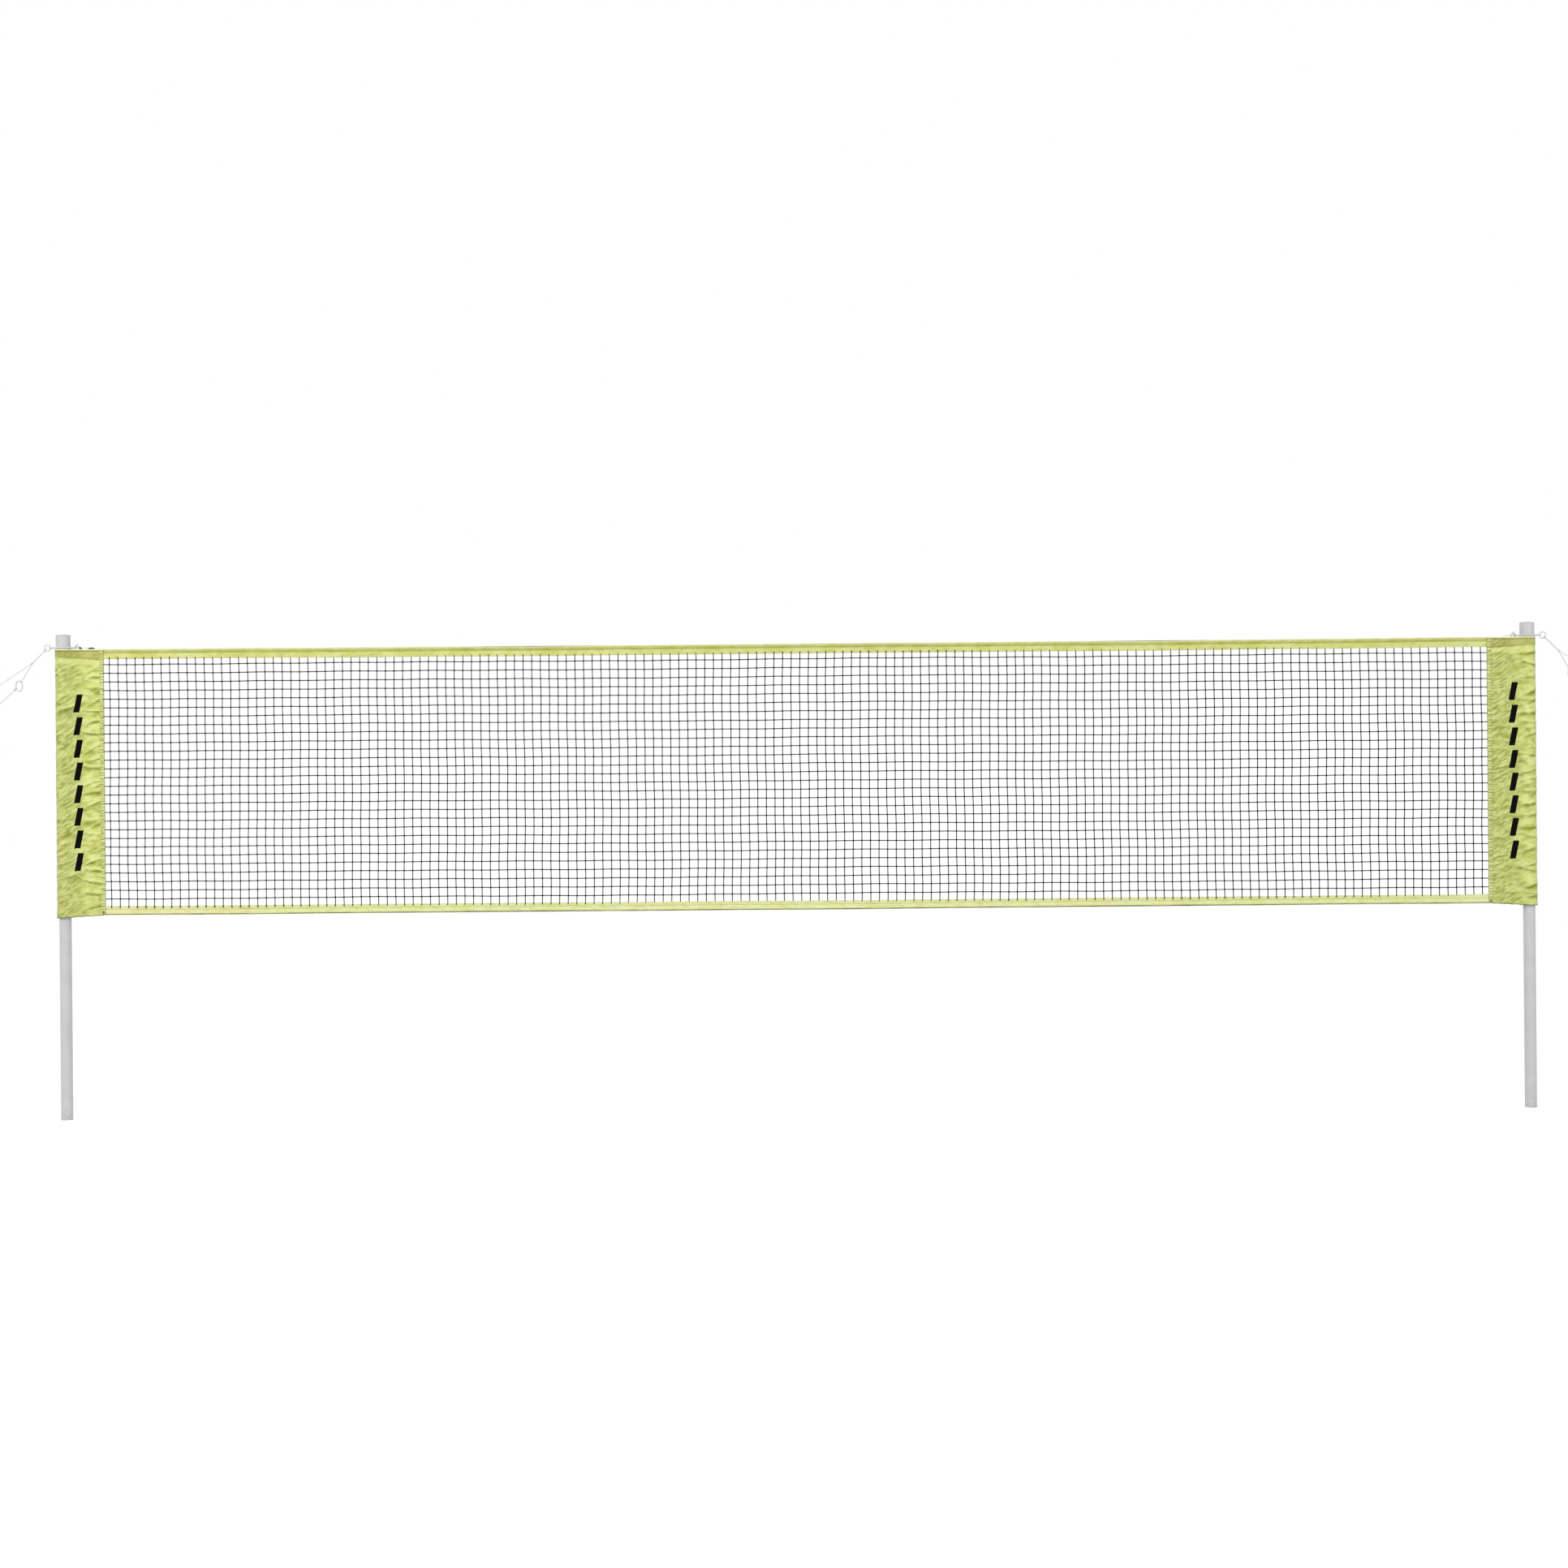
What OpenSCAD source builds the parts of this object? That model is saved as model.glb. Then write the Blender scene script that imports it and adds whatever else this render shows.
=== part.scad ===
// A net on two telescoping poles, held up by guy ropes.
// X runs along the net, Y through it and Z up. The origin is on the ground,
// midway between the poles. Sizes are in millimetres.

/* [Poles] */
// Distance between the centres of the two poles
pole_spacing = 4675; // [3500:25:6500]
// Height of a lowered pole, from the ground to the top of its cap
pole_height = 1550; // [1450:10:1900]
// Outer diameter of the lower tube
lower_od = 38.1; // [34:0.1:40]
// Outer diameter of the upper tube, which slides over the lower one
upper_od = 46; // [44:0.5:54]
// Wall of both tubes
tube_wall = 1.5; // [1:0.1:2.5]
// Length of the upper tube
upper_length = 878; // [840:1:900]
// Length of the foot section, up to the seam under the net
foot_length = 640; // [500:5:640]
// Length of the spigot that joins the foot section to the lower tube
spigot_length = 120; // [60:5:160]
// Chamfer on the ends of the tubes at the seam
seam_chamfer = 0.8; // [0.5:0.1:0.9]
// How far the lower tube ends below the top of a lowered pole
lower_tube_drop = 70; // [65:1:90]

/* [Telescoping] */
// How far the upper tube slides up
pole_travel = 740; // [500:10:745]
// Radial running clearance of the slide bushes
bush_fit = 0.07; // [0.03:0.01:0.1]
// Radial clearance of plugs and bushes that are pressed into a tube
press_gap = 0.05; // [0.02:0.01:0.1]
// Height of the running part of each slide bush
bush_height = 20; // [14:1:22]
// Height of the flange under the lower slide bush
bush_flange = 4; // [2:0.5:6]
// How deep a bush or a plug reaches into its tube
plug_depth = 22; // [12:1:24]
// Wall of the bushes and plugs
plug_wall = 3; // [2:0.5:4]

/* [Pole cap] */
// Height of the cap above the tube
cap_height = 7; // [5:0.5:12]
// Rise of the cap's domed top
cap_dome = 3; // [1:0.5:4]

/* [Snap button] */
// Diameter of the button
button_d = 8; // [6:0.5:9]
// How far the button springs out
button_travel = 6.5; // [5:0.1:6.5]
// Distance of the button below the end of the lower tube
button_drop = 45; // [40:1:60]
// Clearance between the button and the edges of its holes
button_gap = 0.3; // [0.15:0.05:0.5]
// Thickness of the button's inner flange
button_flange = 1.5; // [1:0.1:1.5]
// Thickness of the spring strip
spring_strip = 0.8; // [0.5:0.1:1.2]
// Height of the V-spring
spring_height = 66; // [50:1:80]

/* [Net] */
// Depth of the net, with both tapes
net_depth = 850; // [760:5:850]
// Bare pole above the net
net_drop = 48; // [46:1:60]
// Height of the top tape
top_tape_height = 32; // [20:1:50]
// Height of the bottom tape
bottom_tape_height = 29; // [20:1:50]
// Thickness of a tape
tape_thick = 2.4; // [1.6:0.1:3]
// Number of gaps along the net
gaps_along = 40; // [20:1:42]
// Number of gaps down the net
gaps_down = 7; // [4:1:7]
// Width of a net strand
strand = 4; // [2:0.5:8]
// Thickness of the net
net_thick = 2.4; // [1:0.1:2.4]

/* [Sleeves] */
// Reach of a sleeve from the pole's centre to its inner edge
sleeve_reach = 129; // [120:1:200]
// Thickness of the sleeve cloth
cloth = 1.5; // [1:0.1:2.5]
// Clearance between the sleeve and the tube in it
sleeve_gap = 0.3; // [0.3:0.1:1]
// Distance from the pole's centre to the seam that closes the pocket
seam_reach = 60; // [55:1:80]
// How much lower the outer edge of a sleeve hangs than its inner edge
sleeve_slant = 8; // [0:1:20]
// Depth of the folds in the sleeve cloth
fold_depth = 3; // [0:0.5:4]
// Number of folds down a sleeve
fold_count = 7; // [4:1:9]

/* [Ropes] */
// Diameter of the black rope in the top tape
top_rope_d = 5; // [3:0.5:7]
// Diameter of the rope in the bottom tape
bottom_rope_d = 2; // [1.5:0.5:4]
// Inner diameter of the eye at each end of the top rope
eye_hole = 10; // [8:0.5:14]
// Distance from the pole's centre to the centre of the eye
eye_reach = 44; // [42:1:50]
// Diameter of the tie cords and the guy ropes
cord_d = 3; // [2:0.5:3.5]
// Distance of the tie cord and the guy ring below the top of the pole
tie_drop = 43; // [36:1:44]

/* [Rings] */
// Outer diameter of the guy ring
guy_ring_od = 24; // [20:1:30]
// Thickness of the guy ring
guy_ring_wire = 4; // [3:0.5:5]
// Distance from the pole's centre to the centre of the guy ring
guy_ring_reach = 50; // [45:1:60]
// Outer diameter of the tension ring
tension_ring_od = 39; // [30:1:50]
// Thickness of the tension ring
tension_ring_wire = 4.5; // [3:0.5:6]
// Distance along the back rope from where the ropes part to the tension ring
tension_ring_at = 101; // [60:1:180]
// Outer diameter of the loop at the end of a guy rope
loop_od = 25; // [16:1:40]
// Diameter of the knot at the end of a guy rope
knot_d = 9; // [7:0.5:12]

/* [Hidden] */
$fn = 96;
LEFT = -1;
RIGHT = 1;
pole_x = pole_spacing / 2;
lower_r = lower_od / 2;
lower_ir = lower_r - tube_wall;
upper_r = upper_od / 2;
upper_ir = upper_r - tube_wall;
lower_top = pole_height - lower_tube_drop;
upper_top = pole_height - cap_height;
upper_bottom = upper_top - upper_length;
cap_plug_depth = min(plug_depth, upper_top - lower_top - bush_height - 1);
button_z = lower_top - button_drop;
button_r = button_d / 2;
button_tip = lower_r - 0.1;
button_length = 10.7;
button_base = button_tip - button_length;
body_gap = 0.3;
net_top = pole_height - net_drop;
net_bottom = net_top - net_depth;
mesh_top = net_top - top_tape_height;
mesh_bottom = net_bottom + bottom_tape_height;
net_half = pole_x - sleeve_reach;
top_rope_r = top_rope_d / 2;
bottom_rope_r = bottom_rope_d / 2;
rope_fit = 0.1;
tape_skin = 0.6;
top_rope_z = net_top - top_rope_r - rope_fit - tape_skin;
bottom_rope_z = net_bottom + bottom_rope_r + rope_fit + tape_skin;
cord_r = cord_d / 2;
tie_z = pole_height - tie_drop;
tie_turn = upper_r + body_gap + cord_r;
guy_ring_wire_r = guy_ring_wire / 2;
guy_ring_r = guy_ring_od / 2 - guy_ring_wire_r;
tie_out = guy_ring_reach - guy_ring_od / 2 + guy_ring_wire + body_gap + cord_r;
eye_wire_r = 2;
eye_r = eye_hole / 2 + eye_wire_r;
tie_in = eye_reach - eye_r + eye_wire_r + body_gap + cord_r;
tension_ring_r = (tension_ring_od - tension_ring_wire) / 2;
loop_r = (loop_od - cord_d) / 2;
knot_r = knot_d / 2;

// Routes of the guy ropes, from the centre of the guy ring:
// outward from the pole, along Y and up.
rope_start = guy_ring_od / 2 + 0.2;
split_point = [50, 2, -49];
front_end = [145, -86, -133];
back_bend = [106, 48, -118];
back_end = [212, 122, -192];
cord_sides = 8;
cord_step = 12;

// Puts children, drawn round the pole's axis with +X outward, on one pole.
module on_pole(side) {
    mirror([side == LEFT ? 1 : 0, 0, 0]) translate([pole_x, 0, 0]) children();
}

module tube(outer_r, inner_r, bottom, top) {
    translate([0, 0, bottom]) difference() {
        cylinder(r = outer_r, h = top - bottom);
        translate([0, 0, -1]) cylinder(r = inner_r, h = top - bottom + 2);
    }
}

// A ring of round wire, standing upright and turned about the vertical.
module upright_ring(ring_r, wire_r, turn = 0) {
    rotate([0, 0, turn]) rotate([90, 0, 0]) rotate_extrude() translate([ring_r, 0]) circle(r = wire_r);
}

// The outside of a tube whose end at the seam is chamfered: below it or above it.
module seam_chamfered(outer_r, bottom, top, at_top) {
    c = seam_chamfer;
    translate([0, 0, at_top ? bottom : bottom + c]) cylinder(r = outer_r, h = top - bottom - c);
    translate([0, 0, at_top ? top - c : bottom])
        cylinder(r1 = at_top ? outer_r : outer_r - c, r2 = at_top ? outer_r - c : outer_r, h = c);
}

// The hole that the snap button passes through, on the side that faces the net.
module button_hole(z) {
    translate([0, 0, z]) rotate([0, -90, 0]) cylinder(r = button_r + button_gap, h = upper_od);
}

module foot_tube(side) {
    color("lightgray") on_pole(side) difference() {
        union() seam_chamfered(lower_r, 0, foot_length, true);
        translate([0, 0, -1]) cylinder(r = lower_ir, h = foot_length + 2);
    }
}

module lower_tube(side) {
    color("lightgray") on_pole(side) difference() {
        union() seam_chamfered(lower_r, foot_length, lower_top, false);
        translate([0, 0, foot_length - 1]) cylinder(r = lower_ir, h = lower_top - foot_length + 2);
        button_hole(button_z);
    }
}

// Pressed into both sections where they meet.
module section_spigot(side) {
    spigot_r = lower_ir - press_gap;
    color("lightgray") on_pole(side)
        tube(spigot_r, spigot_r - tube_wall, foot_length - spigot_length / 2, foot_length + spigot_length / 2);
}

module foot_plug(side) {
    color("lightgray") on_pole(side) cylinder(r = lower_ir - press_gap, h = plug_depth);
}

// Slides in the upper tube and sits on the end of the lower one.
module top_bush(side) {
    spigot_r = lower_ir - press_gap;
    color("whitesmoke") on_pole(side) difference() {
        union() {
            translate([0, 0, lower_top]) cylinder(r = upper_ir - bush_fit, h = bush_height);
            translate([0, 0, lower_top - plug_depth]) cylinder(r = spigot_r, h = plug_depth);
        }
        translate([0, 0, lower_top - plug_depth - 1])
            cylinder(r = spigot_r - plug_wall, h = plug_depth + bush_height + 2);
    }
}

module upper_tube(side) {
    color("lightgray") on_pole(side) difference() {
        tube(upper_r, upper_ir, upper_bottom, upper_top);
        button_hole(button_z);
        button_hole(button_z - pole_travel);
    }
}

// Fills the mouth of the upper tube and slides on the lower one.
module lower_bush(side) {
    color("whitesmoke") on_pole(side) difference() {
        union() {
            translate([0, 0, upper_bottom]) cylinder(r = upper_ir - press_gap, h = bush_height);
            translate([0, 0, upper_bottom - bush_flange]) cylinder(r = upper_r, h = bush_flange);
        }
        translate([0, 0, upper_bottom - bush_flange - 1])
            cylinder(r = lower_r + bush_fit, h = bush_height + bush_flange + 2);
    }
}

module pole_cap(side) {
    dome_r = (upper_r * upper_r + cap_dome * cap_dome) / (2 * cap_dome);
    plug_r = upper_ir - press_gap;
    color("gainsboro") on_pole(side) union() {
        rotate_extrude() intersection() {
            translate([0, upper_top]) square([upper_r, cap_height]);
            translate([0, pole_height - dome_r]) circle(r = dome_r, $fn = 360);
        }
        tube(plug_r, plug_r - plug_wall, upper_top - cap_plug_depth, upper_top);
    }
}

// A round-nosed pin with a flange behind the wall of the lower tube.
module snap_button(side) {
    nose = 2;
    flange_rim = 1.5;
    nose_r = (button_r * button_r + nose * nose) / (2 * nose);
    color("silver") on_pole(side) translate([-button_base, 0, button_z]) rotate([0, -90, 0]) union() {
        cylinder(r = button_r + flange_rim, h = button_flange);
        rotate_extrude() intersection() {
            square([button_r, button_tip - button_base]);
            translate([0, button_tip - button_base - nose_r]) circle(r = nose_r);
        }
    }
}

// A bent strip: one leg stands behind the button, the other on the far wall.
module button_spring(side) {
    leg_rise = 6;
    top = button_z + button_r + leg_rise;
    bend_z = top - spring_height;
    near = button_base - body_gap;
    wall = sqrt(lower_ir * lower_ir - button_r * button_r) - 0.1;
    bend = (near - wall) / 2;
    straight = 24;
    t = spring_strip;
    color("silver") on_pole(side) translate([0, button_r, 0]) rotate([90, 0, 0])
        linear_extrude(height = button_d) polygon([
            [-near, top], [-near, top - straight], [-bend - t, bend_z], [-bend + t, bend_z],
            [wall, top - straight], [wall, top], [wall - t, top], [wall - t, top - straight],
            [-bend, bend_z + 1.5 * t], [-near + t, top - straight], [-near + t, top]
        ]);
}

// Net
module net_mesh() {
    width = 2 * net_half;
    pitch_x = width / gaps_along;
    pitch_z = (mesh_top - mesh_bottom) / gaps_down;
    color("#2a2c30") translate([-net_half, net_thick / 2, mesh_bottom]) rotate([90, 0, 0])
        linear_extrude(height = net_thick) difference() {
            square([width, mesh_top - mesh_bottom]);
            for (i = [0 : gaps_along - 1], j = [0 : gaps_down - 1])
                translate([i * pitch_x + strand / 2, j * pitch_z + strand / 2])
                    square([pitch_x - strand, pitch_z - strand]);
        }
}

// A flat tape, folded round the rope in its edge.
module tape(bottom, top, rope_z, rope_r) {
    translate([-net_half, 0, 0]) rotate([90, 0, 90]) linear_extrude(height = 2 * net_half) difference() {
        union() {
            translate([-tape_thick / 2, min(bottom, rope_z)])
                square([tape_thick, max(top, rope_z) - min(bottom, rope_z)]);
            translate([0, rope_z]) circle(r = rope_r + rope_fit + tape_skin);
        }
        translate([0, rope_z]) circle(r = rope_r + rope_fit);
    }
}

module top_tape() {
    color("#dfe3a6") tape(mesh_top, top_rope_z, top_rope_z, top_rope_r);
}

module bottom_tape() {
    color("#dfe3a6") tape(bottom_rope_z, mesh_bottom, bottom_rope_z, bottom_rope_r);
}

// Runs along the whole net and ends in an eye near each pole.
module top_rope() {
    reach = pole_x - eye_reach;
    color("#1c1c1e") union() {
        translate([-reach, 0, top_rope_z]) rotate([0, 90, 0]) cylinder(r = top_rope_r, h = 2 * reach);
        for (side = [LEFT, RIGHT])
            translate([side * reach, 0, tie_z]) upright_ring(eye_r, eye_wire_r);
    }
}

module bottom_rope() {
    color("#1c1c1e") translate([-net_half, 0, bottom_rope_z]) rotate([0, 90, 0])
        cylinder(r = bottom_rope_r, h = 2 * net_half);
}

// Sleeve: a cloth pocket round the pole that closes to a flat double layer.
arc_parts = 10;
levels = 22;
facet_turn = 12;
seam_width = 4;
hem_width = 9;
fold_start = 29;
pocket_edge = 10;
pocket_r = (upper_r + sleeve_gap) / cos(facet_turn);
pocket_tip = seam_reach - seam_width;
tangent = acos(pocket_r / pocket_tip);
fold_reach = sleeve_reach - fold_start;
flat_at = [sleeve_reach, sleeve_reach - hem_width, fold_reach, (seam_reach + fold_reach) / 2, seam_reach];
fold_share = [0, 0, 1, 0.7, 0.25];
sleeve_edge = cloth + pocket_r;

// Height of the edges of the sleeve at a reach inward from the pole's centre.
function sleeve_low(reach) = net_bottom - sleeve_slant * (sleeve_reach - reach) / (sleeve_reach + sleeve_edge);
function sleeve_high(reach) = reach < seam_reach - pocket_edge ? net_top : top_rope_z - top_rope_r - body_gap;
function level_z(reach, k) =
    sleeve_low(reach) + (sleeve_high(reach) - sleeve_low(reach)) * k / (levels - 1);
function fold(i, k) =
    fold_depth * fold_share[i] * sin(360 * fold_count * k / (levels - 1) + 70 * i + 40 * sin(97 * k));
function at(reach, y, k) = [-reach, y, level_z(reach, k)];
function arc_at(r, i) = tangent + (360 - 2 * tangent) * i / arc_parts;
function outer_ring(k) = concat(
    [for (i = [0 : 4]) at(flat_at[i], cloth + fold(i, k), k)],
    [for (i = [0 : arc_parts]) let (a = arc_at(1, i))
        at(sleeve_edge * cos(a), sleeve_edge * sin(a), k)],
    [for (i = [4 : -1 : 0]) at(flat_at[i], -cloth + fold(i, k), k)]
);
function inner_ring(k) = concat(
    [for (i = [0 : arc_parts]) let (a = arc_at(1, i)) at(pocket_r * cos(a), pocket_r * sin(a), k)],
    [at(pocket_tip, 0, k)]
);
outer_n = arc_parts + 11;
inner_n = arc_parts + 2;
ring_n = outer_n + inner_n;

// Two triangles for each step round a wall between one level and the next.
function wall_faces(first, n, turned) = [
    for (k = [0 : levels - 2], i = [0 : n - 1])
        let (a = k * ring_n + first + i, b = k * ring_n + first + (i + 1) % n)
        each turned
            ? [[a, b + ring_n, b], [a, a + ring_n, b + ring_n]]
            : [[a, b, b + ring_n], [a, b + ring_n, a + ring_n]]
];
// One end of the sleeve, with the pocket left open.
function end_faces(k) =
    let (o = k * ring_n, i0 = o + outer_n, tip = i0 + arc_parts + 1)
    [
        for (i = [0 : arc_parts - 1])
            each [[o + 5 + i, i0 + i, i0 + i + 1], [o + 5 + i, i0 + i + 1, o + 6 + i]],
        [o + 4, tip, i0],
        [o + 4, i0, o + 5],
        [o + 5 + arc_parts, i0 + arc_parts, tip],
        [o + 5 + arc_parts, tip, o + 6 + arc_parts],
        [o + 4, o + 6 + arc_parts, tip],
        for (i = [0 : 3])
            let (a = o + i, b = o + outer_n - 1 - i)
            each [[a, b, b - 1], [a, b - 1, a + 1]]
    ];
function flipped(faces) = [for (f = faces) [f[0], f[2], f[1]]];

module sleeve(side) {
    points = [for (k = [0 : levels - 1]) each concat(outer_ring(k), inner_ring(k))];
    faces = concat(
        wall_faces(0, outer_n, false),
        wall_faces(outer_n, inner_n, true),
        end_faces(0),
        flipped(end_faces(levels - 1))
    );
    color("#c8ce78") on_pole(side) polyhedron(points = points, faces = faces, convexity = 6);
}

// A closed loop of cord round the pole, through the guy ring and the rope's eye.
module tie_cord(side) {
    color("white") on_pole(side) translate([0, 0, tie_z]) union() {
        for (end = [[tie_out - tie_turn, -90], [-tie_in + tie_turn, 90]])
            translate([end[0], 0, 0]) rotate([0, 0, end[1]]) rotate_extrude(angle = 180)
                translate([tie_turn, 0]) circle(r = cord_r);
        for (y = [-tie_turn, tie_turn])
            translate([tie_turn - tie_in, y, 0]) rotate([0, 90, 0])
                cylinder(r = cord_r, h = tie_out + tie_in - 2 * tie_turn);
    }
}

// Guy ropes
module at_guy_ring(side) {
    on_pole(side) translate([guy_ring_reach, 0, tie_z]) children();
}

module guy_ring(side) {
    color("whitesmoke") at_guy_ring(side) upright_ring(guy_ring_r, guy_ring_wire_r);
}

function unit(v) = v / norm(v);
// The same point on the front rope's side.
function front(p) = [p[0], -p[1], p[2]];
function stepped(route) = concat(
    [for (i = [0 : len(route) - 2])
        let (leg = route[i + 1] - route[i], n = max(1, round(norm(leg) / cord_step)))
        for (k = [0 : n - 1]) route[i] + leg * k / n],
    [route[len(route) - 1]]
);
function heading(p, i) = unit(p[min(i + 1, len(p) - 1)] - p[max(i - 1, 0)]);
function cord_ring(p, i) =
    let (d = heading(p, i), across = unit(cross(d, [0, 0, 1])), up = cross(across, d))
    [for (s = [0 : cord_sides - 1])
        let (a = 360 * s / cord_sides)
        p[i] + cord_r * (cos(a) * across + sin(a) * up)];

// A tube of cord along a route, closed at both ends.
module cord(route) {
    p = stepped(route);
    n = len(p);
    s = cord_sides;
    points = [for (i = [0 : n - 1]) each cord_ring(p, i)];
    faces = concat(
        [for (i = [0 : n - 2], j = [0 : s - 1])
            let (a = i * s + j, b = i * s + (j + 1) % s)
            each [[a, b, b + s], [a, b + s, a + s]]],
        [for (j = [1 : s - 2]) [0, j + 1, j]],
        [for (j = [1 : s - 2]) (n - 1) * s * [1, 1, 1] + [0, j, j + 1]]
    );
    color("white") polyhedron(points = points, faces = faces, convexity = 4);
}

rope_leave = [rope_start * cos(45), split_point[1], -rope_start * sin(45)];
front_run = unit(front_end - front(split_point));
upper_run = unit(back_bend - split_point);
ring_centre = split_point + tension_ring_at * upper_run;
lower_run = unit(back_end - ring_centre);
ring_run = upper_run + lower_run;
ring_half = tension_ring_od / 2 + 0.2;

module front_rope(side) {
    at_guy_ring(side) cord([front(rope_leave), front(split_point), front_end]);
}

module back_rope_upper(side) {
    at_guy_ring(side) cord([rope_leave, split_point, ring_centre - ring_half * upper_run]);
}

module back_rope_lower(side) {
    at_guy_ring(side) cord([ring_centre + ring_half * lower_run, back_end]);
}

module tension_ring(side) {
    color("whitesmoke") at_guy_ring(side) translate(ring_centre)
        upright_ring(tension_ring_r, tension_ring_wire / 2, atan2(ring_run[1], ring_run[0]));
}

// A knot and a loop past the end of a rope, in the upright plane of the rope.
module end_loop(side, end, run) {
    knot = end + run * (knot_r + 0.1);
    color("white") at_guy_ring(side) union() {
        translate(knot) sphere(r = knot_r);
        translate(knot + run * (knot_r + loop_r - cord_r))
            upright_ring(loop_r, cord_r, atan2(run[1], run[0]));
    }
}

module front_loop(side) {
    end_loop(side, front_end, front_run);
}

module back_loop(side) {
    end_loop(side, back_end, lower_run);
}

foot_tube(LEFT);  // left_foot_tube
foot_tube(RIGHT);  // right_foot_tube
section_spigot(LEFT);  // left_section_spigot
section_spigot(RIGHT);  // right_section_spigot
lower_tube(LEFT);  // left_lower_tube
lower_tube(RIGHT);  // right_lower_tube
foot_plug(LEFT);  // left_foot_plug
foot_plug(RIGHT);  // right_foot_plug
top_bush(LEFT);  // left_top_bush
top_bush(RIGHT);  // right_top_bush
button_spring(LEFT);  // left_button_spring
button_spring(RIGHT);  // right_button_spring
snap_button(LEFT);  // left_snap_button
snap_button(RIGHT);  // right_snap_button
upper_tube(LEFT);  // left_upper_tube
upper_tube(RIGHT);  // right_upper_tube
lower_bush(LEFT);  // left_lower_bush
lower_bush(RIGHT);  // right_lower_bush
pole_cap(LEFT);  // left_pole_cap
pole_cap(RIGHT);  // right_pole_cap
sleeve(LEFT);  // left_sleeve
sleeve(RIGHT);  // right_sleeve
net_mesh();
top_tape();
bottom_tape();
top_rope();
bottom_rope();
tie_cord(LEFT);  // left_tie_cord
tie_cord(RIGHT);  // right_tie_cord
guy_ring(LEFT);  // left_guy_ring
guy_ring(RIGHT);  // right_guy_ring
front_rope(LEFT);  // left_front_rope
front_rope(RIGHT);  // right_front_rope
back_rope_upper(LEFT);  // left_back_rope_upper
back_rope_upper(RIGHT);  // right_back_rope_upper
tension_ring(LEFT);  // left_tension_ring
tension_ring(RIGHT);  // right_tension_ring
back_rope_lower(LEFT);  // left_back_rope_lower
back_rope_lower(RIGHT);  // right_back_rope_lower
front_loop(LEFT);  // left_front_loop
front_loop(RIGHT);  // right_front_loop
back_loop(LEFT);  // left_back_loop
back_loop(RIGHT);  // right_back_loop
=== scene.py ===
"""Looks of a sports net on two telescoping poles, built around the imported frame."""

import logging
import math
import random
from dataclasses import dataclass, replace
from enum import Enum
from typing import Callable, Sequence

import bmesh
import bpy
import numpy as np
from mathutils import Matrix, Vector

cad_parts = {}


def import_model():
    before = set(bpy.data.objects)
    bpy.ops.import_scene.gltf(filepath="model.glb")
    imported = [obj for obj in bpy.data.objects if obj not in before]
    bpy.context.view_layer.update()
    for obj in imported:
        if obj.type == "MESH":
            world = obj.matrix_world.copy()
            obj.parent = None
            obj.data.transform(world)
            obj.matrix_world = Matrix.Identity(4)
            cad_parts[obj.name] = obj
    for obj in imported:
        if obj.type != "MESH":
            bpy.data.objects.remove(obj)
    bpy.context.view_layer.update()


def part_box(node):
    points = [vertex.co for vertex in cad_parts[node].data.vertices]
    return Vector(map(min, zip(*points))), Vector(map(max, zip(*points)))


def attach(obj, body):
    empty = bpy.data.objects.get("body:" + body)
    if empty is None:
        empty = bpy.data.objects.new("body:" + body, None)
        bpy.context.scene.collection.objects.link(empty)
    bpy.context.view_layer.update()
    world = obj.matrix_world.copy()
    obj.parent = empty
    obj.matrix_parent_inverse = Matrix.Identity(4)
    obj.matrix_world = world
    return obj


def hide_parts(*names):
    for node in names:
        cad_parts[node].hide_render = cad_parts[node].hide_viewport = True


Piece = bpy.types.Object
Tree = bpy.types.NodeTree
Socket = bpy.types.NodeSocket
Formula = Callable[[np.ndarray, np.ndarray], np.ndarray]
Marks = dict[str, np.ndarray]

LOG = logging.getLogger("net_on_poles")
MM = 0.001
SEED = 7
# How far the middle of the net hangs below its ends.
SAG = 0.0016
# Sockets of the Mix node when it mixes colours.
MIX_FACTOR, MIX_A, MIX_B, MIX_RESULT = 0, 6, 7, 2
WHITE = (1.0, 1.0, 1.0, 1.0)
# A limit that no measure on the cloth or value of a noise reaches.
ANY = 2.0
UP = Vector((0.0, 0.0, 1.0))


class Side(Enum):
    """One end of the net. Its value is the sign of X there."""

    LEFT = -1
    RIGHT = 1

    def named(self, part: str) -> str:
        """Name of a node, body or piece on this side."""
        return f"{self.name.lower()}_{part}"


class Edge(Enum):
    """One long edge of the net. Its value is the sign of Z there."""

    BOTTOM = -1
    TOP = 1

    def named(self, part: str) -> str:
        """Name of a node or piece along this edge."""
        return f"{self.name.lower()}_{part}"


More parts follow.
